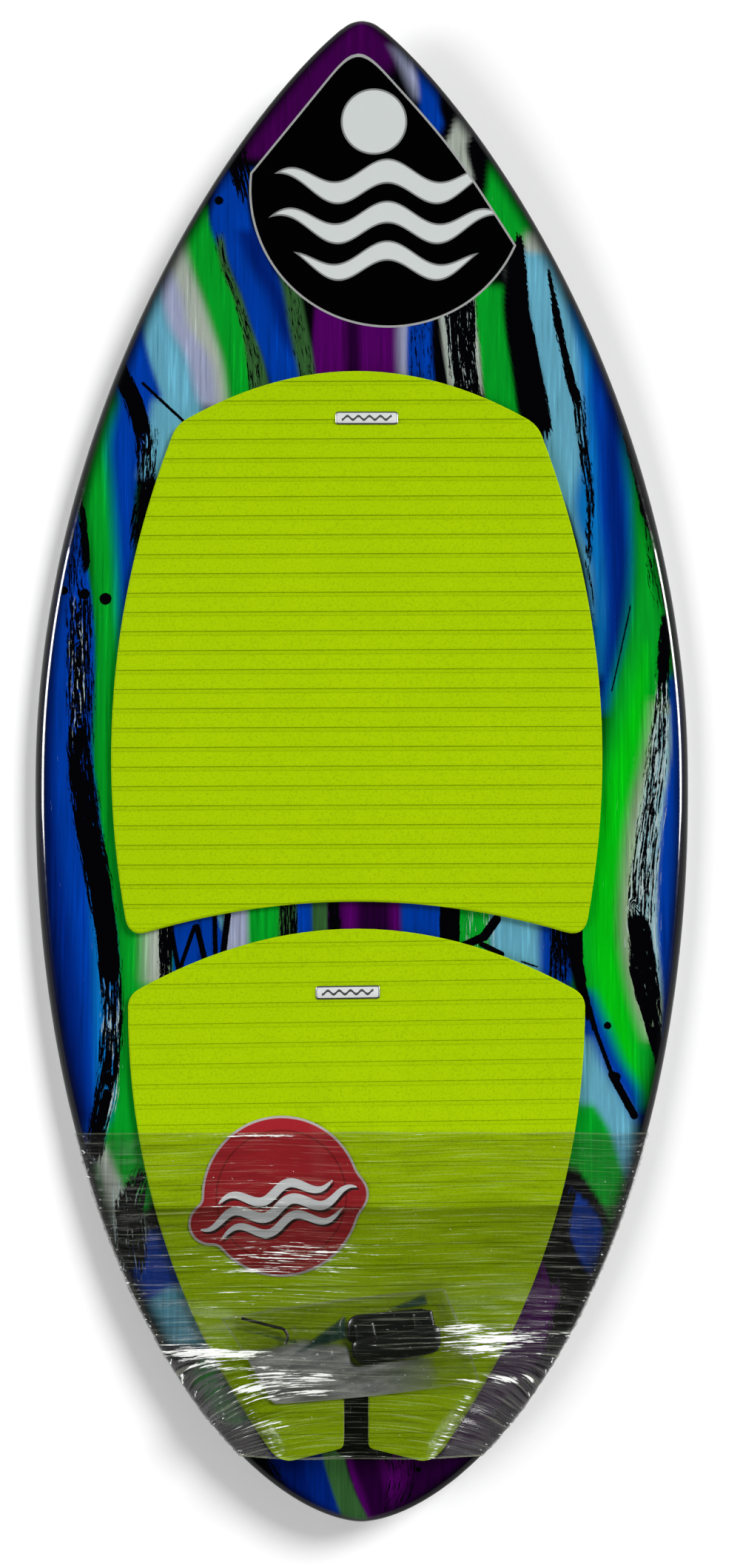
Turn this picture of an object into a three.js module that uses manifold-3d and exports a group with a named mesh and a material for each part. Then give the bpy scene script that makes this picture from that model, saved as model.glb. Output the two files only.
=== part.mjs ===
// A skim style wakesurf board, wrapped for sale: foam core, laminate skins, twin fin boxes,
// two grooved foam traction pads, and a stretch film over the tail that holds a round card
// and a pouch with the two fins and their key.
//
// Frame: the board lies flat, deck up. +Z is up, +Y points to the nose and +X to the right.
// The origin is at the middle of the length, on the surface that the board rests on.
// All sizes are in millimetres.

import * as THREE from "three";
import { mergeVertices } from "three/addons/utils/BufferGeometryUtils.js";
import Module from "manifold-3d";

const wasm = await Module();
wasm.setup();

// Driving dimensions of the board.
const LENGTH = 1211;
const WIDTH = 530;
const THICKNESS = 22;
const TIP_THINNING = 0.5;
const DECK_CROWN = 1.5;
const FLAT_FRONT = 60;
const FLAT_BACK = -90;
const NOSE_ROCKER = 48;
const TAIL_ROCKER = 32;
const WIDEST_Y = -7.5;
const NOSE_CURVE = { reach: 617.5, power: 1.95, fullness: 0.815 };
const TAIL_CURVE = { reach: 598, power: 2.12, fullness: 0.584 };
const NOSE_TIP_RADIUS = 24;
const NOSE_TIP_SPAN = 7;
const HALF = LENGTH / 2;

// Rail section: the widest point's height, and how far the rounded edges reach inwards.
const APEX_HEIGHT = 0.42;
const DECK_EDGE = 10;
const BOTTOM_EDGE = 5;

// Layers: clearance between touching pieces, and the thickness of each sheet.
const GAP = 0.3;
const SKIN = 1;
const LAYER_GAP = 0.5;
const ADHESIVE = 0.5;
const PAD = 4.5;
const BADGE = 0.8;
const CARD = 0.5;
const FILM_GAP = 1.7;
const FILM_SLACK = 0.6;
const FILM = 0.6;

// Traction pads. The pads were laid by hand, a little left of the centre line.
const PAD_X = -4;
const ARCH_HALF_TOP = 20;
const ARCH_HALF_FOOT = 40;
const ARCH_RISE = 2.5;
const ARCH_FRONT = -270;
const ARCH_RAMP = 40;
const KICK_START = -510;
const KICK_TOP = -550;
const KICK_RISE = 14;
const KICK_BEVEL = 12;
const SLOT_HALF = 9.5;
const SLOT_TOP = -490;

// Fin boxes, toed in towards the nose and set into the bottom near the tail.
const FIN_BOX = { x: 118, y: -452, length: 92, width: 24, round: 5, depth: 12, toe: 4 };
const FIN_BLOCK = { length: 116, width: 40, round: 8 };
const FIN_SLOT = { length: 21, width: 6.6, round: 2, depth: 10.5, spacing: 46 };
const SCREW = { radius: 2.5, length: 5, tilt: 18, offset: 7.6, seat: 1.3, socket: 1.4, socketDepth: 2.5 };
const SCREW_HOLE = { radius: 2.85, length: 20 };

// What the film holds against the rear pad.
const CARD_DISC = { x: -63, y: -357, radius: 63 };
const CARD_BANNER = { x: -65, y: -367, halfLength: 72, halfHeight: 17, tilt: 12 };
const POUCH = { y: -472, reach: 30, sheet: 0.4, flat: 2, finRise: 12.4, keyRise: 4 };
const FIN = { length: 72, depth: 24, thickness: 5, rake: 5, edge: 1, tab: 16, tabLength: 12, tilt: 7 };
const KEY = { flats: 2.4, long: 38, short: 11, bend: 4 };
const FILM_FRONT = -308;
const FILM_BACK = -556;
const FILM_STATIONS = 12;
const FILM_COLUMNS = 18;
const FILM_SAMPLES = 24;

// Mesh fineness.
const STATIONS = 30;

// ---------------------------------------------------------------- shape of the board

const clamp01 = (value) => Math.min(1, Math.max(0, value));
const lerp = (a, b, t) => a + (b - a) * t;
const radians = THREE.MathUtils.degToRad;

// Half width of the outline at a distance along the board.
function halfWidth(y) {
  const curve = y > WIDEST_Y ? NOSE_CURVE : TAIL_CURVE;
  const t = clamp01(Math.abs(y - WIDEST_Y) / curve.reach);
  const swept = (WIDTH / 2) * (1 - t ** curve.power) ** curve.fullness;
  const fromTip = HALF - y;
  if (fromTip > NOSE_TIP_SPAN) return swept;
  const rounded = NOSE_TIP_RADIUS ** 2 - (NOSE_TIP_RADIUS - fromTip) ** 2;
  return Math.sqrt(Math.max(0, rounded));
}

// Height of the bottom: flat in the middle, curved up to both tips.
function bottomZ(y) {
  if (y > FLAT_FRONT) return NOSE_ROCKER * ((y - FLAT_FRONT) / (HALF - FLAT_FRONT)) ** 2;
  if (y < FLAT_BACK) return TAIL_ROCKER * ((y - FLAT_BACK) / (HALF + FLAT_BACK)) ** 2;
  return 0;
}

const thickness = (y) => THICKNESS * (1 - TIP_THINNING * Math.abs(y / HALF) ** 3);
const apexZ = (y) => bottomZ(y) + APEX_HEIGHT * thickness(y);

// Height of the deck, slightly crowned from rail to rail.
function deckZ(x, y) {
  const across = Math.min(1, Math.abs(x) / Math.max(halfWidth(y), 1));
  return bottomZ(y) + thickness(y) - DECK_CROWN * across ** 2;
}

// ---------------------------------------------------------------- mesh helpers

function geometryFrom(positions, indices) {
  const geometry = new THREE.BufferGeometry();
  geometry.setAttribute("position", new THREE.Float32BufferAttribute(positions, 3));
  geometry.setIndex(indices);
  return geometry;
}

// Closed body through a list of loops that all hold the same number of points. Its first and
// last loops are flattened onto a line, unless the last loop joins the first again.
function skinLoops(loops, joinEnds) {
  const count = loops[0].length;
  const positions = loops.flat(2);
  const indices = [];
  const strips = joinEnds ? loops.length : loops.length - 1;
  for (let ring = 0; ring < strips; ring++) {
    const next = (ring + 1) % loops.length;
    for (let i = 0; i < count; i++) {
      const j = (i + 1) % count;
      const a = ring * count + i;
      const b = ring * count + j;
      const c = next * count + j;
      const d = next * count + i;
      indices.push(a, b, c, a, c, d);
    }
  }
  return geometryFrom(positions, indices);
}

function toSolid(geometry) {
  const bare = geometry.clone();
  bare.deleteAttribute("normal");
  bare.deleteAttribute("uv");
  const merged = mergeVertices(bare, 1e-4);
  const vertProperties = Float32Array.from(merged.attributes.position.array);
  const triVerts = outward(vertProperties, dropSlivers(merged.index.array));
  return new wasm.Manifold(new wasm.Mesh({ numProp: 3, vertProperties, triVerts }));
}

// Triangles whose corners merged into one another are left out.
function dropSlivers(triangles) {
  const kept = [];
  for (let i = 0; i < triangles.length; i += 3) {
    const [a, b, c] = triangles.slice(i, i + 3);
    if (a !== b && b !== c && c !== a) kept.push(a, b, c);
  }
  return kept;
}

// Turns every triangle over if the closed mesh has its faces pointing in.
function outward(vertices, triangles) {
  const corner = (index) => new THREE.Vector3().fromArray(vertices, 3 * index);
  let volume = 0;
  for (let i = 0; i < triangles.length; i += 3) {
    const [a, b, c] = triangles.slice(i, i + 3).map(corner);
    volume += a.dot(b.cross(c));
  }
  if (volume < 0) triangles.reverse();
  return Uint32Array.from(triangles);
}

function toGeometry(solid) {
  const mesh = solid.getMesh();
  return geometryFrom(Array.from(mesh.vertProperties), Array.from(mesh.triVerts));
}

// A solid moved into place: turned about X, then about Z, then shifted.
function placed(solid, { x = 0, y = 0, z = 0, slope = 0, turn = 0 }) {
  return solid.rotate([slope, 0, turn]).translate([x, y, z]);
}

// Straight prism over an outline, from one height to another.
function prism(shape, low, high) {
  const geometry = new THREE.ExtrudeGeometry(shape, { depth: high - low, bevelEnabled: false });
  return toSolid(geometry.translate(0, 0, low));
}

// Outline through corners. Each corner gives its rounding, and the bow of the edge that follows.
function softShape(corners) {
  const count = corners.length;
  const edges = corners.map((corner, i) => {
    const start = new THREE.Vector2(corner.x, corner.y);
    const end = new THREE.Vector2(corners[(i + 1) % count].x, corners[(i + 1) % count].y);
    const along = end.clone().sub(start);
    const side = new THREE.Vector2(-along.y, along.x).normalize();
    const control = start.clone().add(end).multiplyScalar(0.5);
    control.addScaledVector(side, 2 * (corner.bow ?? 0));
    return { curve: new THREE.QuadraticBezierCurve(start, control, end), length: along.length(), end };
  });
  const points = [];
  edges.forEach((edge, i) => {
    const next = (i + 1) % count;
    const first = (corners[i].round ?? 0) / edge.length;
    const last = 1 - (corners[next].round ?? 0) / edge.length;
    const steps = corners[i].bow ? 8 : 1;
    for (let k = 0; k <= steps; k++) points.push(edge.curve.getPoint(lerp(first, last, k / steps)));
    if (!corners[next].round) {
      points.pop();
      return;
    }
    const nextStart = edges[next].curve.getPoint(corners[next].round / edges[next].length);
    const bend = new THREE.QuadraticBezierCurve(points.at(-1), edge.end, nextStart);
    points.push(bend.getPoint(0.35), bend.getPoint(0.65));
  });
  return new THREE.Shape(points);
}

const mirrored = (corners) => corners.map((corner) => ({ ...corner, x: -corner.x }));

function roundedRectangle(length, width, radius) {
  const corner = (x, y) => ({ x: (x * length) / 2, y: (y * width) / 2, round: radius });
  return softShape([corner(-1, 1), corner(1, 1), corner(1, -1), corner(-1, -1)]);
}

// Sheet between two heights that both depend on the place, cut to an outline.
function drape(cutter, area, low, high) {
  const { columns, rows } = area;
  const positions = [];
  for (const height of [high, low]) {
    for (let row = 0; row <= rows; row++) {
      const y = lerp(area.back, area.front, row / rows);
      for (let column = 0; column <= columns; column++) {
        const x = lerp(area.left, area.right, column / columns);
        positions.push(x, y, height(x, y));
      }
    }
  }
  return toSolid(geometryFrom(positions, gridIndices(columns, rows))).intersect(cutter);
}

// Triangles of a slab whose top grid of points is followed by the same grid for its underside.
function gridIndices(columns, rows) {
  const at = (row, column) => row * (columns + 1) + column;
  const under = (rows + 1) * (columns + 1);
  const indices = [];
  const rim = [];
  for (let row = 0; row < rows; row++) {
    for (let column = 0; column < columns; column++) {
      const [a, b] = [at(row, column), at(row, column + 1)];
      const [d, c] = [at(row + 1, column), at(row + 1, column + 1)];
      indices.push(a, b, c, a, c, d);
      indices.push(a + under, c + under, b + under, a + under, d + under, c + under);
    }
  }
  for (let column = 0; column < columns; column++) rim.push(at(0, column));
  for (let row = 0; row < rows; row++) rim.push(at(row, columns));
  for (let column = columns; column > 0; column--) rim.push(at(rows, column));
  for (let row = rows; row > 0; row--) rim.push(at(row, 0));
  rim.forEach((a, i) => {
    const b = rim[(i + 1) % rim.length];
    indices.push(a, a + under, b + under, a, b + under, b);
  });
  return indices;
}

// ---------------------------------------------------------------- core and skins

// Points of the outline from nose to tail on the right, and back to the nose on the left.
function outlinePoints() {
  const points = [];
  for (let i = 0; i < 2 * STATIONS; i++) {
    const y = HALF * Math.cos((Math.PI * i) / STATIONS);
    const onTip = i % STATIONS === 0;
    const side = i < STATIONS ? 1 : -1;
    points.push(new THREE.Vector2(onTip ? 0 : side * halfWidth(y), y));
  }
  return points;
}

const SPINE = 0.9;
const OUTLINE = outlinePoints();

// One loop around the board. Inset moves it in from the outline, and part of the way to the spine.
function boardLoop({ inset, toSpine = 0, height }) {
  return OUTLINE.map((rim) => {
    const spine = new THREE.Vector2(0, SPINE * rim.y);
    const shoulder = rim.clone().addScaledVector(spine.clone().sub(rim).normalize(), inset);
    const spot = shoulder.lerp(spine, toSpine);
    return [toSpine === 1 ? 0 : spot.x, spot.y, height(spot.x, spot.y)];
  });
}

const SPREAD = [1, 2 / 3, 1 / 3];

// Loops of the deck from the spine out and down the rail, a given depth below its surface.
function deckLoops(depth, apexShift = 0) {
  const flat = SPREAD.map((toSpine) => ({
    inset: DECK_EDGE,
    toSpine,
    height: (x, y) => deckZ(x, y) - depth,
  }));
  const round = [90, 60, 30].map((angle) => ({
    inset: DECK_EDGE - (DECK_EDGE - depth) * Math.cos(radians(angle)),
    height: (x, y) => {
      const rise = deckZ(x, y) - depth - apexZ(y) - apexShift;
      return apexZ(y) + apexShift + rise * Math.sin(radians(angle));
    },
  }));
  const rim = { inset: depth, height: (x, y) => apexZ(y) + apexShift };
  return [...flat, ...round, rim].map(boardLoop);
}

// Loops of the bottom from the rail in to the spine, a given depth above its surface.
function bottomLoops(depth, apexShift = 0) {
  const rim = { inset: depth, height: (x, y) => apexZ(y) + apexShift };
  const round = [45, 90].map((angle) => ({
    inset: BOTTOM_EDGE - (BOTTOM_EDGE - depth) * Math.cos(radians(angle)),
    height: (x, y) => {
      const drop = apexZ(y) + apexShift - bottomZ(y) - depth;
      return apexZ(y) + apexShift - drop * Math.sin(radians(angle));
    },
  }));
  const flat = [1 / 2, 1].map((toSpine) => ({
    inset: BOTTOM_EDGE,
    toSpine,
    height: (x, y) => bottomZ(y) + depth,
  }));
  return [rim, ...round, ...flat].map(boardLoop);
}

function deckSkin() {
  const outer = deckLoops(0, GAP / 2);
  const inner = deckLoops(SKIN, GAP / 2).reverse();
  return toSolid(skinLoops([...outer, ...inner], false));
}

function bottomSkin() {
  const outer = bottomLoops(0, -GAP / 2).reverse();
  const inner = bottomLoops(SKIN, -GAP / 2);
  return toSolid(skinLoops([...outer, ...inner], false));
}

function wholeCore() {
  const [deckRim, ...bottom] = bottomLoops(SKIN + GAP);
  return toSolid(skinLoops([...deckLoops(SKIN + GAP).slice(0, -1), deckRim, ...bottom], false));
}

const TALL = 200;
const STRINGER_HALF = 1.6;

const slabBetween = (left, right) => {
  const box = new THREE.BoxGeometry(right - left, 2 * LENGTH, TALL);
  return toSolid(box.translate((left + right) / 2, 0, 0));
};

// ---------------------------------------------------------------- fin boxes

// Where a fin box sits: on the bottom, sloped with the rocker and toed in.
function finBoxPlace(side) {
  const reach = FIN_BOX.length / 2;
  const rise = bottomZ(FIN_BOX.y + reach) - bottomZ(FIN_BOX.y - reach);
  const slope = THREE.MathUtils.radToDeg(Math.atan2(rise, FIN_BOX.length));
  const sag = (bottomZ(FIN_BOX.y + reach) + bottomZ(FIN_BOX.y - reach)) / 2;
  return { x: side * FIN_BOX.x, y: FIN_BOX.y, z: sag, slope, turn: side * FIN_BOX.toe };
}

const alongY = (solid) => solid.rotate([0, 0, 90]);

const finPrism = (length, width, radius, low, high) =>
  alongY(prism(roundedRectangle(length, width, radius), low, high));

function screwHolePlace(slotSide, side) {
  return (solid) =>
    solid.rotate([0, -side * SCREW.tilt, 0])
      .translate([side * SCREW.offset, (slotSide * FIN_SLOT.spacing) / 2, 0]);
}

function finBox(side) {
  const outer = finPrism(FIN_BOX.length, FIN_BOX.width, FIN_BOX.round, 0, FIN_BOX.depth);
  const hole = toSolid(cylinder(SCREW_HOLE.radius, SCREW_HOLE.length, 12));
  let box = outer;
  for (const slotSide of [1, -1]) {
    const slot = finPrism(FIN_SLOT.length, FIN_SLOT.width, FIN_SLOT.round, -1, FIN_SLOT.depth);
    box = box.subtract(slot.translate([0, (slotSide * FIN_SLOT.spacing) / 2, 0]));
    box = box.subtract(screwHolePlace(slotSide, side)(hole));
  }
  return placed(box, finBoxPlace(side));
}

const upright = (geometry) => geometry.rotateX(Math.PI / 2);
const cylinder = (radius, length, sides) => upright(new THREE.CylinderGeometry(radius, radius, length, sides));

// Headless screw with a hexagonal socket, just below the face of its fin box.
function grubScrew(side, slotSide) {
  const { radius, length, socket, socketDepth } = SCREW;
  const shank = toSolid(cylinder(radius, length, 12));
  const hexagon = toSolid(cylinder(socket, 2 * socketDepth, 6));
  const screw = shank.subtract(hexagon.translate([0, 0, -length / 2]));
  const seated = screwHolePlace(slotSide, side)(screw.translate([0, 0, length / 2 + SCREW.seat]));
  return placed(seated, finBoxPlace(side));
}

const finBlockCutter = (side, extra) =>
  placed(finPrism(FIN_BLOCK.length + extra, FIN_BLOCK.width + extra, FIN_BLOCK.round, -TALL / 2, TALL / 2), {
    ...finBoxPlace(side),
    slope: 0,
  });

function finPocket(side) {
  const [length, width] = [FIN_BOX.length + 2 * GAP, FIN_BOX.width + 2 * GAP];
  const pocket = finPrism(length, width, FIN_BOX.round, -2 * FIN_BOX.depth, FIN_BOX.depth + GAP);
  return placed(pocket, finBoxPlace(side));
}

function finBlock(core, side) {
  return core.intersect(finBlockCutter(side, 0)).subtract(finPocket(side));
}

function coreHalf(core, side) {
  const inner = side * (STRINGER_HALF + GAP);
  const outer = side * WIDTH;
  const half = core.intersect(slabBetween(Math.min(inner, outer), Math.max(inner, outer)));
  return half.subtract(finBlockCutter(side, 2 * GAP));
}

// ---------------------------------------------------------------- traction pads

const FRONT_TOP = { x: 148, y: 267, round: 9, bow: 31 };
const FRONT_FOOT = { x: 182, y: -153, round: 15 };
const FRONT_TOP_BOW = 44.5;
const FRONT_FOOT_BOW = -29;
const REAR_TOP = { x: 182, y: -199, round: 9, bow: 32 };
const REAR_TOP_BOW = 53;
const LOBE_TIP = { x: 60, y: -560, round: 12 };
const LOBE_INNER = { x: SLOT_HALF, y: -548, round: 4 };

function frontPadShape() {
  return softShape([
    { ...FRONT_TOP, x: -FRONT_TOP.x, bow: FRONT_TOP_BOW },
    FRONT_TOP,
    { ...FRONT_FOOT, bow: FRONT_FOOT_BOW },
    { ...FRONT_FOOT, x: -FRONT_FOOT.x, bow: FRONT_TOP.bow },
  ]);
}

function rearPadShape() {
  const slotEnd = { x: SLOT_HALF, y: SLOT_TOP, round: 8 };
  const right = [REAR_TOP, LOBE_TIP, LOBE_INNER, slotEnd];
  const left = mirrored(right).reverse();
  left[2].bow = REAR_TOP.bow;
  left[3].bow = REAR_TOP_BOW;
  return softShape([...right, ...left]);
}

const ADHESIVE_SCALE = [0.98, 0.99, 1];

// Grids that the pads are draped on. The rear grid has lines along the edges of every raised part.
const FRONT_AREA = { left: -200, right: 200, front: 320, back: -160, columns: 5, rows: 12 };
const REAR_AREA = { left: -200, right: 200, front: -110, back: -590, columns: 20, rows: 12 };

// Half width of the rear pad, as far as its raised parts need it.
function rearPadHalf(y) {
  const t = clamp01((REAR_TOP.y - y) / (REAR_TOP.y - LOBE_TIP.y));
  return lerp(REAR_TOP.x, LOBE_TIP.x, t) + 4 * REAR_TOP.bow * t * (1 - t);
}

// How far the rear pad is lifted by the arch bar and by the kick under it.
function padRise(x, y) {
  const across = Math.abs(x - PAD_X);
  const archSide = clamp01((ARCH_HALF_FOOT - across) / (ARCH_HALF_FOOT - ARCH_HALF_TOP));
  const archEnd = clamp01((ARCH_FRONT + ARCH_RAMP - y) / ARCH_RAMP);
  const kickRamp = clamp01((KICK_START - y) / (KICK_START - KICK_TOP));
  const kickSide = clamp01((rearPadHalf(y) - across) / KICK_BEVEL);
  return Math.max(ARCH_RISE * archSide * archEnd, KICK_RISE * kickRamp * kickSide);
}

const adhesiveBase = (x, y) => deckZ(x, y) + LAYER_GAP;
const padBase = (x, y) => adhesiveBase(x, y) + ADHESIVE + LAYER_GAP;
const rearPadUnder = (x, y) => padBase(x, y) + padRise(x, y);
const frontPadTop = (x, y) => padBase(x, y) + PAD;
const rearPadTop = (x, y) => rearPadUnder(x, y) + PAD;

const overPads = (shape) => prism(shape, -TALL / 2, TALL / 2).translate([PAD_X, 0, 0]);
const centred = (area) => ({ ...area, left: area.left + PAD_X, right: area.right + PAD_X });

function frontPad() {
  return drape(overPads(frontPadShape()), centred(FRONT_AREA), padBase, frontPadTop);
}

function rearPad() {
  return drape(overPads(rearPadShape()), centred(REAR_AREA), rearPadUnder, rearPadTop);
}

// Adhesive sheet under a pad, a little smaller than the pad.
function adhesive(shape, area) {
  const middle = (area.front + area.back) / 2;
  const cutter = prism(shape, -TALL / 2, TALL / 2)
    .translate([0, -middle, 0])
    .scale(ADHESIVE_SCALE)
    .translate([PAD_X, middle, 0]);
  const top = (x, y) => adhesiveBase(x, y) + ADHESIVE;
  return drape(cutter, { ...centred(area), columns: 5 }, adhesiveBase, top);
}

// A foam piece between the adhesive and the rear pad, where the pad is raised.
function riser(shape) {
  const top = (x, y) => rearPadUnder(x, y) - GAP;
  const low = (x, y) => Math.min(padBase(x, y), top(x, y) - GAP / 6);
  return drape(overPads(shape), centred(REAR_AREA), low, top);
}

const ARCH_ROUND = 6;

function archBar() {
  const half = ARCH_HALF_TOP + ARCH_ROUND;
  const corner = (x, y) => ({ x, y, round: ARCH_ROUND });
  const front = ARCH_FRONT;
  const back = SLOT_TOP + 2 * SLOT_HALF;
  return riser(softShape([corner(-half, front), corner(half, front), corner(half, back), corner(-half, back)]));
}

const KICK_WEDGE = { start: KICK_START - 8, end: KICK_TOP + 2, skew: 6, round: 3, cornerRound: 5 };
const KICK_INSET = 2 * KICK_BEVEL + 8;

// One of the two wedges that lift the tail lobes of the rear pad.
function tailKick(side) {
  const { start, end, skew, round, cornerRound } = KICK_WEDGE;
  const inner = SLOT_HALF + 1;
  const outerAt = (y) => rearPadHalf(y) - KICK_INSET;
  const right = [
    { x: inner, y: start, round },
    { x: outerAt(start), y: start, round },
    { x: outerAt(end), y: end, round: cornerRound },
    { x: inner, y: end + skew, round },
  ];
  return riser(softShape(side > 0 ? right : mirrored(right).reverse()));
}

// ---------------------------------------------------------------- badges and card

const BADGE_SIZE = { length: 51, width: 10.6, round: 2.5 };

function badge(x, y, under) {
  const shape = roundedRectangle(BADGE_SIZE.length, BADGE_SIZE.width, BADGE_SIZE.round);
  const cutter = prism(shape, -TALL / 2, TALL / 2).translate([x, y, 0]);
  const { length, width } = BADGE_SIZE;
  const area = { left: x - length, right: x + length, front: y + width, back: y - width, columns: 1, rows: 1 };
  const low = (px, py) => under(px, py) + GAP;
  return drape(cutter, area, low, (px, py) => low(px, py) + BADGE);
}

// Round card with a wide banner across it.
function roundCard() {
  const circle = new THREE.Shape().absarc(0, 0, CARD_DISC.radius, 0, 2 * Math.PI);
  const disc = prism(new THREE.Shape(circle.getPoints(8)), -TALL / 2, TALL / 2);
  const { halfLength, halfHeight, tilt } = CARD_BANNER;
  const banner = prism(roundedRectangle(2 * halfLength, 2 * halfHeight, halfHeight), -TALL / 2, TALL / 2);
  const cutter = disc
    .translate([CARD_DISC.x, CARD_DISC.y, 0])
    .add(banner.rotate([0, 0, tilt]).translate([CARD_BANNER.x, CARD_BANNER.y, 0]));
  const low = (x, y) => rearPadTop(x, y) + GAP;
  return drape(cutter, centred(REAR_AREA), low, (x, y) => low(x, y) + CARD);
}

// ---------------------------------------------------------------- pouch, fins and key

// The pouch lies on the arch bar, in a plane that slopes with the deck.
function pouchPlace() {
  const rise = rearPadTop(PAD_X, POUCH.y + POUCH.reach) - rearPadTop(PAD_X, POUCH.y - POUCH.reach);
  const slope = THREE.MathUtils.radToDeg(Math.atan2(rise, 2 * POUCH.reach));
  return { x: PAD_X, y: POUCH.y, z: rearPadTop(PAD_X, POUCH.y) + 4 * GAP, slope };
}

const POUCH_CORNERS = [
  { x: -106, y: 21, round: 3 },
  { x: 69, y: 44, round: 3 },
  { x: 96, y: -27, round: 3 },
  { x: -64, y: -44, round: 3 },
];
const FIN_NEST = { x: 29, y: 8, length: 82, width: 54, tilt: FIN.tilt };
const KEY_NEST = { x: -72, y: 11, length: 50, width: 22, tilt: -14 };
const FIN_NEST_SLOPE = 14;
const KEY_NEST_SLOPE = 8;
const OPEN_END = 10;
const SEAM = { x: 3, y: 2 };

// Four-sided mound with sloping walls.
function mound(nest, height, slopeOut, shrink) {
  const corner = Math.SQRT1_2;
  const top = nest.length - 2 * shrink;
  const foot = top + 2 * slopeOut;
  const widthRatio = (nest.width - 2 * shrink + slopeOut) / (top + slopeOut);
  const pyramid = new THREE.CylinderGeometry(top * corner, foot * corner, height, 4);
  pyramid.rotateY(Math.PI / 4);
  upright(pyramid).translate(0, 0, height / 2);
  return toSolid(pyramid).scale([1, widthRatio, 1]).rotate([0, 0, nest.tilt]).translate([nest.x, nest.y, 0]);
}

function pouchBody(shrink) {
  const flat = prism(softShape(POUCH_CORNERS), shrink, POUCH.flat - shrink);
  const level = (solid) => solid.translate([0, 0, shrink]);
  return flat
    .add(level(mound(FIN_NEST, POUCH.finRise - 2 * shrink, FIN_NEST_SLOPE, shrink)))
    .add(level(mound(KEY_NEST, POUCH.keyRise - 2 * shrink, KEY_NEST_SLOPE, shrink)));
}

// Thin pouch, open at its left end.
function pouch() {
  const outer = pouchBody(0).intersect(prism(softShape(POUCH_CORNERS), -1, 2 * POUCH.finRise));
  const inset = POUCH_CORNERS.map(({ x, y, round }, i) => ({
    x: i === 0 || i === 3 ? x - OPEN_END : x - SEAM.x,
    y: y - SEAM.y * Math.sign(y),
    round,
  }));
  const hollow = pouchBody(POUCH.sheet).intersect(prism(softShape(inset), -1, 2 * POUCH.finRise));
  return placed(outer.subtract(hollow), pouchPlace());
}

// Low fin with two mounting tabs, lying on its side. Layer 0 is under layer 1.
function fin(layer) {
  const turned = layer === 0 ? 1 : -1;
  const half = FIN.length / 2;
  const { rake, edge } = FIN;
  const blade = softShape([
    { x: -half, y: 0, round: 3 },
    { x: -half + rake, y: FIN.depth, round: 8 },
    { x: half - rake, y: FIN.depth, round: 8 },
    { x: half, y: 0, round: 3 },
  ]);
  const bevel = { bevelThickness: edge, bevelSize: edge, bevelSegments: 1, bevelOffset: -edge };
  const flat = { depth: FIN.thickness - 2 * edge, ...bevel };
  let solid = toSolid(new THREE.ExtrudeGeometry(blade, flat).translate(0, 0, edge));
  for (const end of [-1, 1]) {
    const tab = new THREE.BoxGeometry(FIN.tab, FIN.tabLength + 2, FIN.thickness - 1);
    tab.translate((end * FIN_SLOT.spacing) / 2, 1 - FIN.tabLength / 2, FIN.thickness / 2);
    solid = solid.add(toSolid(tab));
  }
  const lift = POUCH.sheet + GAP + layer * (FIN.thickness + GAP);
  const laid = solid
    .rotate([0, 0, turned > 0 ? 0 : 180])
    .translate([0, -turned * 2, lift])
    .rotate([0, 0, FIN.tilt])
    .translate([FIN_NEST.x, FIN_NEST.y, 0]);
  return placed(laid, pouchPlace());
}

function hexKey() {
  const hexagon = new THREE.Shape();
  for (let i = 0; i < 6; i++) {
    const angle = (i * Math.PI) / 3;
    const radius = KEY.flats / Math.sqrt(3);
    const step = i === 0 ? "moveTo" : "lineTo";
    hexagon[step](radius * Math.cos(angle), radius * Math.sin(angle));
  }
  const path = new THREE.CatmullRomCurve3([
    new THREE.Vector3(-KEY.long / 2, 0, 0),
    new THREE.Vector3(KEY.long / 2 - 2 * KEY.bend, 0, 0),
    new THREE.Vector3(KEY.long / 2 - KEY.bend, 0, 0),
    new THREE.Vector3(KEY.long / 2, -KEY.bend, 0),
    new THREE.Vector3(KEY.long / 2, -KEY.short, 0),
  ], false, "centripetal");
  const rod = toSolid(new THREE.ExtrudeGeometry(hexagon, { steps: 16, bevelEnabled: false, extrudePath: path }));
  const laid = rod
    .translate([0, KEY.short / 2, KEY.flats / 2 + POUCH.sheet + GAP])
    .rotate([0, 0, KEY_NEST.tilt])
    .translate([KEY_NEST.x, KEY_NEST.y, 0]);
  return placed(laid, pouchPlace());
}

// ---------------------------------------------------------------- stretch film

// How far outside the fins and the pouch the film is still held up by them.
const NEST_CLEAR = { x: 8, y: 6 };
const POUCH_REACH = { x: 100, y: 46 };

// Height above the bottom of whatever the film has to pass over.
function coveredHeight(x, y) {
  let z = deckZ(x, y);
  if (Math.abs(x - PAD_X) < rearPadHalf(y)) z = rearPadTop(x, y) + GAP + CARD;
  const fromNestX = Math.abs(x - PAD_X - FIN_NEST.x) - FIN_NEST.length / 2 - NEST_CLEAR.x;
  const fromNestY = Math.abs(y - POUCH.y - FIN_NEST.y) - FIN_NEST.width / 2 - NEST_CLEAR.y;
  const fromPouchX = Math.abs(x - PAD_X) - POUCH_REACH.x;
  const fromPouchY = Math.abs(y - POUCH.y) - POUCH_REACH.y;
  if (fromPouchX < 0 && fromPouchY < 0) z = rearPadTop(PAD_X, y) + 4 * GAP + POUCH.keyRise;
  if (fromNestX < 0 && fromNestY < 0) z = rearPadTop(PAD_X, y) + 4 * GAP + POUCH.finRise;
  return z - bottomZ(y);
}

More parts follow.
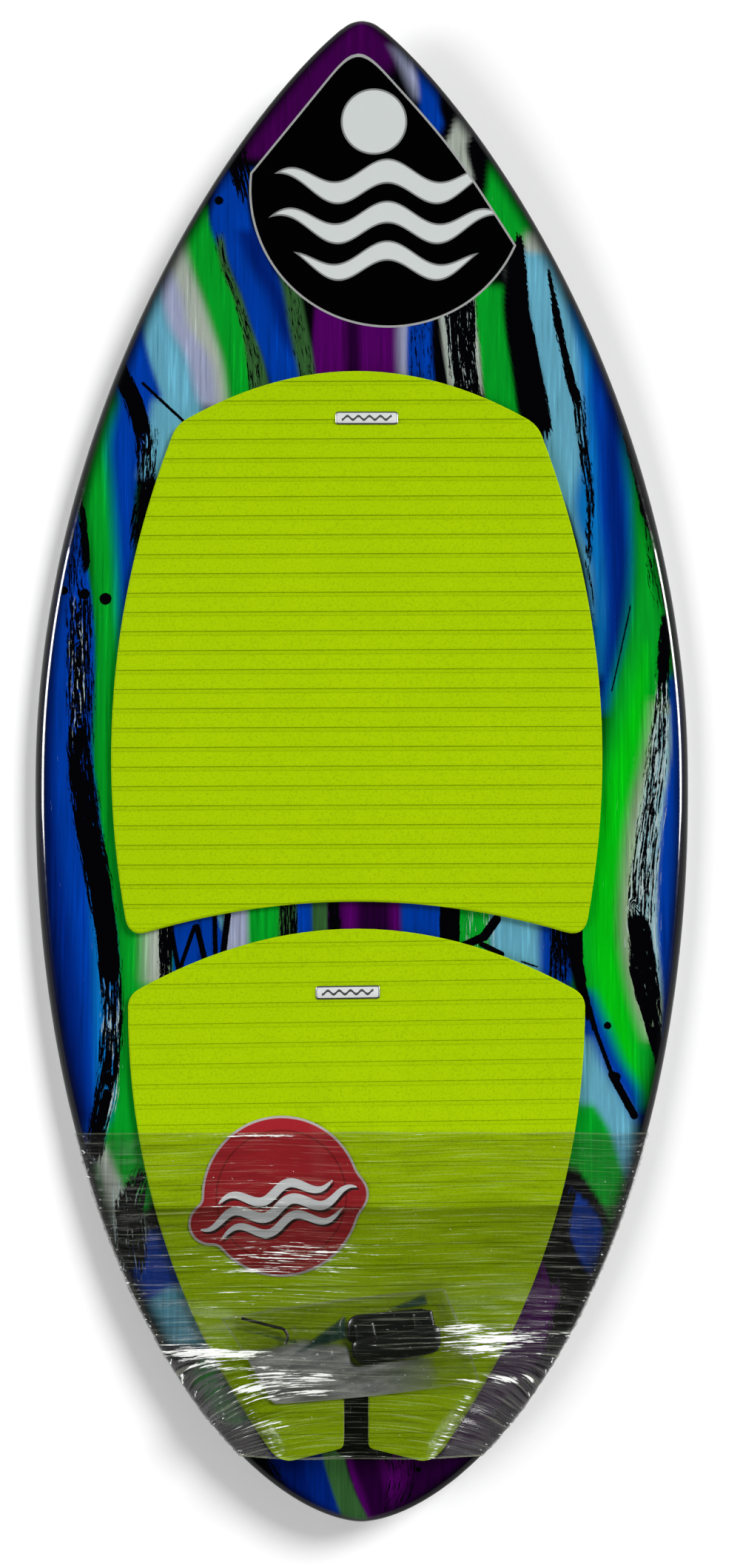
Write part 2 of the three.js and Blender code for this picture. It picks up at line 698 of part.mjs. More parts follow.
// Upper or lower convex boundary of points sorted by x.
function taut(points, sign) {
  const kept = [];
  for (const point of points) {
    while (kept.length > 1) {
      const [a, b] = kept.slice(-2);
      const turn = (b[0] - a[0]) * (point[1] - a[1]) - (b[1] - a[1]) * (point[0] - a[0]);
      if (sign * turn < 0) break;
      kept.pop();
    }
    kept.push(point);
  }
  return kept;
}

function heightOn(line, x) {
  const next = Math.max(1, line.findIndex((point) => point[0] >= x));
  const [a, b] = [line[next - 1], line[next]];
  return lerp(a[1], b[1], clamp01((x - a[0]) / (b[0] - a[0])));
}

// Points of the board's section at y: the rounded rail, the deck and the bottom.
function railPoints(y, side) {
  const half = halfWidth(y);
  const edge = (reach, z, angle) => [side * (half - reach + reach * Math.cos(radians(angle))), z];
  const rise = deckZ(half, y) - apexZ(y);
  const drop = apexZ(y) - bottomZ(y);
  const upper = [0, 20, 40, 65, 90].map((angle) =>
    edge(DECK_EDGE, apexZ(y) + rise * Math.sin(radians(angle)), angle));
  const lower = [0, 45, 90].map((angle) => edge(BOTTOM_EDGE, apexZ(y) - drop * Math.sin(radians(angle)), angle));
  return { upper, lower };
}

// One taut section of film around the board, offset outwards by a distance. Underneath it hangs
// a little slack, clear of the fin boxes.
function filmSection(y, distance) {
  const step = (FILM_FRONT - FILM_BACK) / FILM_STATIONS;
  const half = halfWidth(y);
  const [right, left] = [railPoints(y, 1), railPoints(y, -1)];
  const over = [...right.upper, ...left.upper];
  for (let k = -FILM_SAMPLES; k <= FILM_SAMPLES; k++) {
    const x = (k / FILM_SAMPLES) * (half - DECK_EDGE);
    const heights = [y - step, y - step / 2, y, y + step / 2, y + step].map((near) => coveredHeight(x, near));
    over.push([x, bottomZ(y) + Math.max(...heights)]);
  }
  const byX = (a, b) => a[0] - b[0] || a[1] - b[1];
  const top = taut(over.sort(byX), 1);
  const under = taut([...right.lower, ...left.lower].sort(byX), -1);
  const loop = [];
  for (let k = 0; k < 2 * FILM_COLUMNS; k++) {
    const x = half * Math.cos((Math.PI * k) / FILM_COLUMNS);
    const onRail = k % FILM_COLUMNS === 0;
    loop.push([x, onRail ? apexZ(y) : heightOn(k < FILM_COLUMNS ? top : under, x)]);
  }
  return loop.map(([x, z], k) => {
    const before = loop.at(k - 1);
    const after = loop[(k + 1) % loop.length];
    const normal = new THREE.Vector2(after[1] - before[1], before[0] - after[0]).normalize();
    const slack = FILM_SLACK * Math.min(0, normal.y);
    return [x + distance * normal.x, y, z + distance * normal.y + slack];
  });
}

// Thin sleeve of stretch film around the tail, open at both ends.
function filmSleeve() {
  const stations = [];
  for (let i = 0; i <= FILM_STATIONS; i++) stations.push(lerp(FILM_FRONT, FILM_BACK, i / FILM_STATIONS));
  const inner = stations.map((y) => filmSection(y, FILM_GAP));
  const outer = stations.map((y) => filmSection(y, FILM_GAP + FILM)).reverse();
  return toSolid(skinLoops([...inner, ...outer], true));
}

// ---------------------------------------------------------------- assembly

const LOOKS = {
  foam: { color: 0xe9e6dc, roughness: 0.9, metalness: 0 },
  denseFoam: { color: 0xc9b68c, roughness: 0.9, metalness: 0 },
  wood: { color: 0xb98f5a, roughness: 0.7, metalness: 0 },
  deck: { color: 0x1c46a8, roughness: 0.15, metalness: 0 },
  bottom: { color: 0x101114, roughness: 0.15, metalness: 0 },
  plastic: { color: 0x17181a, roughness: 0.45, metalness: 0 },
  steel: { color: 0x8f9296, roughness: 0.35, metalness: 1 },
  darkSteel: { color: 0x2c2b2c, roughness: 0.4, metalness: 1 },
  lime: { color: 0xa4cc08, roughness: 0.75, metalness: 0 },
  adhesive: { color: 0xd9d3bd, roughness: 0.6, metalness: 0 },
  badge: { color: 0xd8dadc, roughness: 0.4, metalness: 0 },
  card: { color: 0xc3202f, roughness: 0.5, metalness: 0 },
  clear: { color: 0xdfe6e8, roughness: 0.2, metalness: 0 },
};

const board = new THREE.Group();

function add(name, solid, look) {
  const mesh = new THREE.Mesh(toGeometry(solid), new THREE.MeshStandardMaterial(LOOKS[look]));
  mesh.name = name;
  board.add(mesh);
}

const SIDES = { left: -1, right: 1 };
const core = wholeCore();
const bottomOpenings = finPocket(1).add(finPocket(-1));

add("deck_laminate", deckSkin(), "deck");
add("bottom_laminate", bottomSkin().subtract(bottomOpenings), "bottom");
add("stringer", core.intersect(slabBetween(-STRINGER_HALF, STRINGER_HALF)), "wood");

for (const [name, side] of Object.entries(SIDES)) {
  add(`foam_core_${name}`, coreHalf(core, side), "foam");
  add(`fin_block_${name}`, finBlock(core, side), "denseFoam");
  add(`fin_box_${name}`, finBox(side), "plastic");
  add(`grub_screw_${name}_front`, grubScrew(side, 1), "steel");
  add(`grub_screw_${name}_rear`, grubScrew(side, -1), "steel");
  add(`tail_kick_${name}`, tailKick(side), "lime");
}

add("front_pad_adhesive", adhesive(frontPadShape(), FRONT_AREA), "adhesive");
add("front_pad", frontPad(), "lime");
add("front_badge", badge(4, 272, frontPadTop), "badge");
add("rear_pad_adhesive", adhesive(rearPadShape(), REAR_AREA), "adhesive");
add("arch_bar", archBar(), "lime");
add("rear_pad", rearPad(), "lime");
add("rear_badge", badge(-11, -197, rearPadTop), "badge");

add("round_card", roundCard(), "card");
add("fin_pouch", pouch(), "clear");
add("fin_left", fin(0), "plastic");
add("fin_right", fin(1), "plastic");
add("hex_key", hexKey(), "darkSteel");
add("tail_film", filmSleeve(), "clear");

export default board;
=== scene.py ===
"""A wakesurf board, wrapped for sale: painted deck, grooved foam pads, and a stretch film over the
tail that holds a round card and a bag with two fins and their key.

Shapes are worked out in millimetres in the CAD's frame (+Z up, +Y to the nose, +X to the right) and
turned into metres when a mesh is made. Colours are 8 bit values.
"""

import math

import bpy
import numpy as np
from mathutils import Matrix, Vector
from mathutils.geometry import delaunay_2d_cdt


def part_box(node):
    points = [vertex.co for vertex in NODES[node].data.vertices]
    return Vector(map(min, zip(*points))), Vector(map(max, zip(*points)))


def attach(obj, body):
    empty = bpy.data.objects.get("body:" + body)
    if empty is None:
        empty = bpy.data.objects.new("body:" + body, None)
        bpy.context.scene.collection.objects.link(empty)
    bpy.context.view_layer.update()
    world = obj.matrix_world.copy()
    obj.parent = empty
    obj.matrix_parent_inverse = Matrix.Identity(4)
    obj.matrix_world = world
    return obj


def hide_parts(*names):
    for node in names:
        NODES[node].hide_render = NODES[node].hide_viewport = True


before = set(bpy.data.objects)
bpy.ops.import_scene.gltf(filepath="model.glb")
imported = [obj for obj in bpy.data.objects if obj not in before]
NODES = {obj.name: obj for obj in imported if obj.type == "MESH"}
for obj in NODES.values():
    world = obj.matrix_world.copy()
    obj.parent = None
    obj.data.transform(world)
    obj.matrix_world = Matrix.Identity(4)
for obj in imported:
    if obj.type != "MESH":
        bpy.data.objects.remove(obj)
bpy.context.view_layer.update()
BOARD = "board"
MM = 0.001
TAU = 2 * math.pi

# ------------------------------------------------------------------ shape of the board

HALF = 605.5
WIDTH = 530
THICKNESS = 22
TIP_THINNING = 0.5
DECK_CROWN = 1.5
FLAT_FRONT, FLAT_BACK = 60, -90
NOSE_ROCKER, TAIL_ROCKER = 48, 32
WIDEST_Y = -7.5
NOSE_CURVE = (617.5, 1.95, 0.815)
TAIL_CURVE = (598, 2.12, 0.584)
NOSE_TIP_RADIUS, NOSE_TIP_SPAN = 24, 7
APEX_HEIGHT = 0.42
DECK_EDGE, BOTTOM_EDGE = 10, 5
SKIN = 1
SPINE = 0.9
FIN_BOX = dict(x=118, y=-452, half_length=46.3, half_width=12.3, round=5, toe=math.radians(4))
PAD_X = -4
PAD_LIFT = 1.5
PAD = 4.5
REAR_FRONT, REAR_BACK = -199, -560
REAR_HALF_FRONT, REAR_HALF_BACK, REAR_BOW = 182, 60, 32
SLOT_HALF, SLOT_TOP, SLOT_FOOT = 9.5, -490, -548
ARCH_HALF_TOP, ARCH_HALF_FOOT, ARCH_RISE = 20, 40, 2.5
ARCH_FRONT, ARCH_RAMP = -270, 40
KICK_START, KICK_TOP, KICK_RISE, KICK_BEVEL = -510, -550, 14, 12


def smoothstep(t):
    t = np.clip(t, 0, 1)
    return t * t * (3 - 2 * t)


def lerp(a, b, t):
    return a + (b - a) * t


def half_width(y):
    y = np.asarray(y, float)
    t = np.abs(y - WIDEST_Y)
    out = np.zeros_like(t)
    for front, (reach, power, fullness) in ((True, NOSE_CURVE), (False, TAIL_CURVE)):
        inside = np.clip(1 - np.clip(t / reach, 0, 1) ** power, 0, 1)
        out = np.where((y > WIDEST_Y) == front, WIDTH / 2 * inside**fullness, out)
    tip = HALF - y
    rounded = np.sqrt(np.clip(NOSE_TIP_RADIUS**2 - (NOSE_TIP_RADIUS - tip) ** 2, 0, None))
    return np.where(tip > NOSE_TIP_SPAN, out, rounded)


def bottom_z(y):
    y = np.asarray(y, float)
    nose = NOSE_ROCKER * (np.clip(y - FLAT_FRONT, 0, None) / (HALF - FLAT_FRONT)) ** 2
    tail = TAIL_ROCKER * (np.clip(FLAT_BACK - y, 0, None) / (HALF + FLAT_BACK)) ** 2
    return nose + tail


def thickness(y):
    return THICKNESS * (1 - TIP_THINNING * np.abs(np.asarray(y, float) / HALF) ** 3)


def apex_z(y):
    """Height of the rail's outermost line."""
    return bottom_z(y) + APEX_HEIGHT * thickness(y)


def deck_z(x, y):
    across = np.minimum(1, np.abs(x) / np.maximum(half_width(y), 1))
    return bottom_z(y) + thickness(y) - DECK_CROWN * across**2


def rear_pad_half(y):
    t = np.clip((REAR_FRONT - y) / (REAR_FRONT - REAR_BACK), 0, 1)
    return lerp(REAR_HALF_FRONT, REAR_HALF_BACK, t) + 4 * REAR_BOW * t * (1 - t)


def pad_rise(x, y):
    """How far the bar and the tail kick lift the rear pad."""
    across = np.abs(x - PAD_X)
    side = smoothstep((ARCH_HALF_FOOT - across) / (ARCH_HALF_FOOT - ARCH_HALF_TOP))
    end = smoothstep((ARCH_FRONT + ARCH_RAMP - y) / ARCH_RAMP)
    ramp = np.clip((KICK_START - y) / (KICK_START - KICK_TOP), 0, 1)
    kick = np.clip((rear_pad_half(y) - across) / KICK_BEVEL, 0, 1)
    return np.maximum(ARCH_RISE * side * end, KICK_RISE * ramp * kick)


def front_pad_under(x, y):
    return deck_z(x, y) + PAD_LIFT


def front_pad_top(x, y):
    return front_pad_under(x, y) + PAD


def rear_pad_under(x, y):
    return front_pad_under(x, y) + pad_rise(x, y)


def rear_pad_top(x, y):
    return rear_pad_under(x, y) + PAD


# ------------------------------------------------------------------ mesh helpers

SAME_POINT = 1e-4
FLAT_TRIANGLE = 1e-9
EDGE_STEPS, CORNER_STEPS, STRAIGHT_STEP = 26, 7, 8


def add_object(name, data):
    made = bpy.data.objects.new(name, data)
    bpy.context.scene.collection.objects.link(made)
    return made


def new_mesh(name, points, faces):
    """A mesh from points in millimetres."""
    mesh = bpy.data.meshes.new(name)
    mesh.from_pydata((np.asarray(points, float) * MM).tolist(), [], faces)
    return mesh


def make_piece(name, points, faces, smooth_angle):
    """A mesh object that rides on the board, sharp where it turns by more than smooth_angle."""
    mesh = new_mesh(name, points, faces)
    mesh.validate()
    mesh.shade_smooth()
    if smooth_angle:
        mesh.set_sharp_from_angle(angle=math.radians(smooth_angle))
    piece = add_object(name, mesh)
    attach(piece, BOARD)
    return piece


def points_of(piece):
    """A piece's points, in millimetres."""
    out = np.zeros(len(piece.data.vertices) * 3, np.float32)
    piece.data.vertices.foreach_get("co", out)
    return out.reshape(-1, 3).astype(float) / MM


def give_field(piece, name, values):
    """Stores a number at every point of a piece, for its material."""
    field = piece.data.attributes.new(name, "FLOAT", "POINT")
    field.data.foreach_set("value", np.asarray(values, np.float32).ravel())


def give_colour(piece, name, values):
    layer = piece.data.attributes.new(name, "FLOAT_COLOR", "POINT")
    rgba = np.ones((len(values), 4), np.float32)
    rgba[:, :3] = values
    layer.data.foreach_set("color", rgba.ravel())


def loop_faces(rings, count):
    """Quads between rings that each hold count points."""
    faces = []
    for start in range(0, (rings - 1) * count, count):
        for i in range(count):
            j = (i + 1) % count
            faces.append((start + i, start + j, start + count + j, start + count + i))
    return faces


def welded(points, faces):
    """The same mesh with points that coincide merged, and the faces that this flattens dropped."""
    keys = np.round(points / SAME_POINT).astype(np.int64)
    _, first, back = np.unique(keys, axis=0, return_index=True, return_inverse=True)
    back = back.ravel().tolist()
    merged = [tuple(dict.fromkeys(back[index] for index in face)) for face in faces]
    return points[first], [face for face in merged if len(face) > 2]


def closed(ring):
    """A ring of points as a line that comes back to its start."""
    return np.vstack([ring, ring[:1]])


def turned(points, angle):
    """Points (x, y) turned about the origin."""
    c, s = math.cos(angle), math.sin(angle)
    return points @ np.array([[c, s], [-s, c]])


def seen_from(place, x, y):
    """Coordinates along and across a tilted shape with a centre and a tilt."""
    c, s = math.cos(place["tilt"]), math.sin(place["tilt"])
    px, py = x - place["x"], y - place["y"]
    return px * c + py * s, -px * s + py * c


def grid_spots(xs, ys, outline):
    """Points of a grid that lie inside an outline."""
    spots = np.array([(x, y) for x in xs for y in ys])
    return spots[inside_outline(outline, spots)].tolist()


def soft_outline(corners):
    """Outline through corners (x, y, round, bow), where bow bends the edge that follows."""
    count = len(corners)
    edges = []
    for i, (x, y, _, bow) in enumerate(corners):
        a = np.array((x, y), float)
        b = np.array(corners[(i + 1) % count][:2], float)
        side = np.array((-(b - a)[1], (b - a)[0]))
        length = np.linalg.norm(b - a)
        edges.append((a, (a + b) / 2 + side / length * 2 * bow, b, length))

    def at(edge, t):
        a, control, b, _ = edge
        t = np.asarray(t, float)[..., None]
        return (1 - t) ** 2 * a + 2 * t * (1 - t) * control + t**2 * b

    points = []
    for i, edge in enumerate(edges):
        after = (i + 1) % count
        first = corners[i][2] / edge[3]
        last = 1 - corners[after][2] / edge[3]
        steps = EDGE_STEPS if corners[i][3] else max(2, int(edge[3] / STRAIGHT_STEP))
        points.extend(at(edge, np.linspace(first, last, steps + 1)))
        start = points[-1]
        end = at(edges[after], corners[after][2] / edges[after][3])
        for t in np.linspace(0, 1, CORNER_STEPS)[1:-1]:
            points.append((1 - t) ** 2 * start + 2 * t * (1 - t) * edge[2] + t**2 * end)
    return np.array(points)


def inside_outline(outline, points):
    x, y = points[:, 0][:, None], points[:, 1][:, None]
    a, b = outline, np.roll(outline, -1, axis=0)
    crosses = (a[:, 1] > y) != (b[:, 1] > y)
    run = np.where(b[:, 1] == a[:, 1], 1, b[:, 1] - a[:, 1])
    where = a[:, 0] + (y - a[:, 1]) * (b[:, 0] - a[:, 0]) / run
    return (np.sum(crosses & (x < where), axis=1) % 2).astype(bool)


def edge_distance(outline, points):
    """Distance from points to an outline."""
    best = np.full(len(points), 1e9)
    for a, b in zip(outline, np.roll(outline, -1, axis=0)):
        d = b - a
        t = np.clip(((points - a) @ d) / max(d @ d, 1e-9), 0, 1)
        best = np.minimum(best, np.linalg.norm(points - a - t[:, None] * d, axis=1))
    return best


def inset_outline(outline, distance):
    before, after = np.roll(outline, 1, axis=0), np.roll(outline, -1, axis=0)
    along = after - before
    normal = np.stack([along[:, 1], -along[:, 0]], axis=1)
    normal /= np.linalg.norm(normal, axis=1)[:, None]
    area = np.sum(outline[:, 0] * after[:, 1] - outline[:, 1] * after[:, 0])
    return outline - normal * distance * (1 if area > 0 else -1)


def crossings(outline, height, tilt):
    """Where the line y = height + tilt x crosses an outline, as pairs of x."""
    a, b = outline, np.roll(outline, -1, axis=0)
    fa, fb = a[:, 1] - height - tilt * a[:, 0], b[:, 1] - height - tilt * b[:, 0]
    hit = (fa > 0) != (fb > 0)
    t = fa[hit] / (fa[hit] - fb[hit])
    return np.sort(a[hit, 0] + t * (b[hit, 0] - a[hit, 0])).reshape(-1, 2)


def plate(name, outline, lines, under, top, spare=(), smooth_angle=40):
    """Closed plate over an outline. lines are lists of points that have to be edges of its mesh."""
    points, edges = [], []
    for line in [outline, *lines]:
        start = len(points)
        points.extend(line)
        edges.extend((i, i + 1) for i in range(start, len(points) - 1))
        if start == 0:
            edges.append((len(points) - 1, 0))
    points.extend(spare)
    made = delaunay_2d_cdt([Vector(p) for p in points], edges, [], 0, SAME_POINT)
    flat = np.array([tuple(v) for v in made[0]])
    triangles = np.array(made[2])
    triangles = triangles[inside_outline(outline, flat[triangles].mean(axis=1))]
    used, triangles = np.unique(triangles, return_inverse=True)
    triangles = triangles.reshape(-1, 3)
    flat = flat[used]
    a, b, c = (flat[triangles[:, k]] for k in range(3))
    turn = (b - a)[:, 0] * (c - a)[:, 1] - (b - a)[:, 1] * (c - a)[:, 0]
    triangles[turn < 0] = triangles[turn < 0][:, ::-1]
    triangles = triangles[np.abs(turn) > FLAT_TRIANGLE].tolist()
    count = len(flat)
    faces = [tuple(t) for t in triangles]
    faces += [(c + count, b + count, a + count) for a, b, c in triangles]
    rim = dict.fromkeys((t[i], t[(i + 1) % 3]) for t in triangles for i in range(3))
    faces += [(i, i + count, j + count, j) for i, j in rim if (j, i) not in rim]
    both = np.vstack([np.column_stack([flat, height(flat)]) for height in (top, under)])
    return make_piece(name, both, faces, smooth_angle)


# ------------------------------------------------------------------ materials


def linear(*rgb):
    """Linear colour from 8 bit values."""
    parts = [value / 255 for value in rgb]
    return [v / 12.92 if v <= 0.04045 else ((v + 0.055) / 1.055) ** 2.4 for v in parts]


class Value:
    """A node's output, so that a sum of such values makes the nodes that work it out."""

    def __init__(self, nodes, socket):
        self.nodes, self.socket = nodes, socket

    def __add__(self, other):
        return self.nodes.math("ADD", self, other)

    def __sub__(self, other):
        return self.nodes.math("SUBTRACT", self, other)

    def __rsub__(self, other):
        return self.nodes.math("SUBTRACT", other, self)

    def __mul__(self, other):
        return self.nodes.math("MULTIPLY", self, other)

    def __truediv__(self, other):
        return self.nodes.math("DIVIDE", self, other)

    def __abs__(self):
        return self.nodes.math("ABSOLUTE", self)


class Nodes:
    """Builds a node tree."""

    def __init__(self, tree):
        self.tree = tree

    def feed(self, socket, value):
        """Links or sets an input. A colour is three 8 bit values."""
        if isinstance(value, Value):
            self.tree.links.new(value.socket, socket)
        elif socket.type == "RGBA":
            socket.default_value = (*linear(*value), 1)
        else:
            socket.default_value = value

    def node(self, kind, inputs, output=0, **settings):
        """A new node's output. inputs are values by name or number."""
        made = self.tree.nodes.new("ShaderNode" + kind)
        for key, value in settings.items():
            setattr(made, key, value)
        for key, value in inputs.items():
            self.feed(made.inputs[key], value)
        return Value(self, made.outputs[output])

    def math(self, operation, *inputs, clamp=False):
        return self.node("Math", dict(enumerate(inputs)), operation=operation, use_clamp=clamp)

    def vector(self, operation, a, b):
        second = "Scale" if operation == "SCALE" else 1
        output = "Value" if operation in ("DOT_PRODUCT", "DISTANCE") else "Vector"
        return self.node("VectorMath", {0: a, second: b}, output, operation=operation)

    def most(self, first, *others):
        for other in others:
            first = self.math("MAXIMUM", first, other)
        return first

    def mix(self, share, a, b):
        """Colour that goes from a to b."""
        return self.node("Mix", {0: share, 6: a, 7: b}, 2, data_type="RGBA", clamp_factor=True)

    def layers(self, colour, *above):
        """Colour with others laid over it, each as its share and itself."""
        for share, other in above:
            colour = self.mix(share, colour, other)
        return colour

    def blend(self, share, a, b):
        """Number that goes from a to b."""
        return self.node("Mix", {0: share, 2: a, 3: b}, data_type="FLOAT", clamp_factor=True)

    def step(self, value, low, high):
        """0 on low's side and 1 on high's side, smooth between them."""
        return self.node("MapRange", {0: value, 1: low, 2: high}, interpolation_type="SMOOTHSTEP")

    def join(self, x, y, z=0.0):
        return self.node("CombineXYZ", {0: x, 1: y, 2: z})

    def split(self, vector):
        made = self.tree.nodes.new("ShaderNodeSeparateXYZ")
        self.feed(made.inputs[0], vector)
        return [Value(self, output) for output in made.outputs]

    def noise(self, place, scale, detail=3.0, roughness=0.55):
        inputs = {"Vector": place, "Scale": scale, "Detail": detail, "Roughness": roughness}
        return self.node("TexNoise", inputs, "Fac")

    def streaks(self, u, v, seed, detail=3.0, roughness=0.55):
        """Noise in a stretched plane."""
        return self.noise(self.join(u, v, seed), 1.0, detail, roughness)

    def field(self, name, output="Fac"):
        """What give_field or give_colour stored."""
        return self.node("Attribute", {}, output, attribute_name=name)


class Paint(Nodes):
    """One material, with the place on the piece in millimetres."""

    def __init__(self, name, **inputs):
        self.material = bpy.data.materials.new(name)
        self.material.use_nodes = True
        super().__init__(self.material.node_tree)
        self.set(**inputs)
        self.place = self.vector("SCALE", self.node("TexCoord", {}, "Object"), 1 / MM)
        self.x, self.y, _ = self.split(self.place)
        self.flat = self.join(self.x, self.y)

    def set(self, **inputs):
        """Sets or links inputs of the main shader."""
        for name, value in inputs.items():
            self.feed(self.tree.nodes["Principled BSDF"].inputs[name.replace("_", " ")], value)

    def sine(self, value):
        return self.math("SINE", value)

    def distance(self, x, y):
        """Distance in the plane from a point."""
        return self.vector("DISTANCE", self.flat, (x, y, 0))

    def onto(self, *pieces, slot=None):
        for piece in pieces:
            piece.data.materials.clear()
            piece.data.materials.append(self.material)

    def finish(self, pieces, slot, colour, height, depth, strength, **inputs):
        """Sets the colour, the relief and the last inputs, and puts the paint on its pieces."""
        relief = self.node("Bump", {"Height": height, "Strength": strength, "Distance": depth})
        self.set(Base_Color=colour, Normal=relief, **inputs)
        self.onto(*pieces, slot=slot)


# ------------------------------------------------------------------ camera, floor and lights

TARGET = Vector((6.7, -28.5, 22)) * MM
CAMERA_DISTANCE = 2.2
CAMERA_TILT = math.radians(8.13)
LENS, SENSOR = 62.6, 36
FLOOR_HALF = 6000
# Suns: name, direction to it, strength, and spread in degrees.
SUNS = [("key", (1.7, 1.25, 1.75), 2.65, 24), ("fill", (-2.1, -0.7, 1.6), 1.45, 32)]


def add_camera():
    data = bpy.data.cameras.new("camera")
    data.lens, data.sensor_width = LENS, SENSOR
    data.clip_start, data.clip_end = 0.05, 50
    camera = add_object("camera", data)
    back = Vector((0, -math.sin(CAMERA_TILT), math.cos(CAMERA_TILT)))
    camera.location = TARGET + back * CAMERA_DISTANCE
    camera.rotation_euler = (CAMERA_TILT, 0, 0)
    bpy.context.scene.camera = camera


def add_light(name, kind, energy, direction, **settings):
    data = bpy.data.lights.new(name, kind)
    data.energy = energy
    for key, value in settings.items():
        setattr(data, key, value)
    light = add_object(name, data)
    light.rotation_euler = direction.to_track_quat("-Z", "Y").to_euler()
    return light


def add_world():
    """A white room with a dark ceiling, so that the gloss seen from above keeps its colours."""
    world = bpy.data.worlds.new("studio")
    world.use_nodes = True
    nodes = Nodes(world.node_tree)
    background = world.node_tree.nodes["Background"]
    nodes.feed(background.inputs[0], (255, 255, 255))
    height = nodes.split(nodes.node("TexCoord", {}, "Generated"))[2]
    ranges = {0: height, 1: 0.34, 2: 0.70, 3: 1.15, 4: 0.02}
    nodes.feed(background.inputs[1], nodes.node("MapRange", ranges, interpolation_type="SMOOTHSTEP"))
    bpy.context.scene.world = world


def add_stage():
    corners = [(x * FLOOR_HALF, y * FLOOR_HALF, 0) for x, y in ((-1, -1), (1, -1), (1, 1), (-1, 1))]
    floor = add_object("floor", new_mesh("floor", corners, [(0, 1, 2, 3)]))
    paint = Paint("floor_paper", Roughness=0.9)
    paint.set(Base_Color=paint.mix(paint.noise(paint.place, 0.6, 2), (249, 249, 249), (252, 252, 252)))
    paint.onto(floor)
    add_world()
    for name, source, strength, spread in SUNS:
        sun = add_light(name, "SUN", strength, -Vector(source), angle=math.radians(spread))
        sun.visible_glossy = False
    # these two make only the white streaks on the rails
    for side in (-1, 1):
        place = Vector((side * 1.5, 0.40, 1.3))
        direction = Vector((side * 0.25, 0.10, 0)) - place
        glint = add_light("glint", "AREA", 100, direction, shape="RECTANGLE", size=0.60, size_y=0.62)
        glint.location = place
        glint.visible_diffuse = False
    view = bpy.context.scene.view_settings
    view.view_transform, view.look = "Standard", "None"


add_camera()
add_stage()

# ------------------------------------------------------------------ deck and bottom

STATIONS = 370
SPREAD = 104
CUT_DEPTH = 8


def outline_loop():
    """The board's outline, all the way round."""
    step = np.arange(2 * STATIONS)
    y = HALF * np.cos(np.pi * step / STATIONS)
    x = np.where(step < STATIONS, 1, -1) * half_width(y)
    x[np.isclose(np.abs(y), HALF)] = 0
    return np.column_stack([x, y])


OUTLINE = outline_loop()
SPINE_LOOP = np.column_stack([np.zeros(len(OUTLINE)), SPINE * OUTLINE[:, 1]])


def board_loop(inset, to_spine, height):
    """A loop like the outline, drawn in by inset and then by a share of the way to the spine."""
    away = SPINE_LOOP - OUTLINE
    away /= np.linalg.norm(away, axis=1)[:, None]
    spot = lerp(OUTLINE + away * inset, SPINE_LOOP, to_spine)
    if to_spine == 1:
        spot[:, 0] = 0
    return np.column_stack([spot, height(spot[:, 0], spot[:, 1])])


def face_loops(surface, edge, depth, spread, arc):
    """Loops over one face of the board, from the spine out and round to the rail's apex."""
    loops = [board_loop(edge, t, surface) for t in np.linspace(1, 0, spread)[:-1]]
    for angle in np.radians(np.linspace(90, 0, arc)):
        def height(x, y, rise=math.sin(angle)):
            return apex_z(y) + (surface(x, y) - apex_z(y)) * rise

        loops.append(board_loop(edge - (edge - depth) * math.cos(angle), 0, height))
    return loops


def deck_loops(depth, spread, arc):
    return face_loops(lambda x, y: deck_z(x, y) - depth, DECK_EDGE, depth, spread, arc)


def bottom_loops(depth, spread, arc):
    return face_loops(lambda x, y: bottom_z(y) + depth, BOTTOM_EDGE, depth, spread, arc)


def skin_piece(name, loops):
    points, faces = welded(np.vstack(loops), loop_faces(len(loops), len(OUTLINE)))
    return make_piece(name, points, faces, 60)


deck = skin_piece("deck", deck_loops(0, SPREAD, 9) + deck_loops(SKIN, 4, 3)[::-1])
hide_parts("deck_laminate")
bottom = skin_piece("bottom", bottom_loops(SKIN, 4, 3) + bottom_loops(0, 24, 8)[::-1])


def cut_opening(side, node):
    """Cuts the opening for one fin box through the bottom skin."""
    low, high = (corner[2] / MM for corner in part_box(node))
    w, l, r = FIN_BOX["half_width"], FIN_BOX["half_length"], FIN_BOX["round"]
    ring = soft_outline([(-w, -l, r, 0), (w, -l, r, 0), (w, l, r, 0), (-w, l, r, 0)])
    ring = turned(ring, side * FIN_BOX["toe"]) + (side * FIN_BOX["x"], FIN_BOX["y"])
    count = len(ring)
    points = np.vstack([np.column_stack([ring, np.full(count, z)]) for z in (low - CUT_DEPTH, high)])
    faces = loop_faces(2, count) + [tuple(range(count))[::-1], tuple(range(count, 2 * count))]
    cutter = add_object("cutter", new_mesh("cutter", points, faces))
    cut = bottom.modifiers.new("opening", "BOOLEAN")
    cut.operation, cut.object, cut.solver = "DIFFERENCE", cutter, "EXACT"
    shape = bottom.evaluated_get(bpy.context.evaluated_depsgraph_get())
    made = bpy.data.meshes.new_from_object(shape)
    bottom.modifiers.clear()
    bottom.data = made
    bpy.data.objects.remove(cutter)


cut_opening(-1, "fin_box_left")
cut_opening(1, "fin_box_right")
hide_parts("bottom_laminate")

# ------------------------------------------------------------------ painted artwork

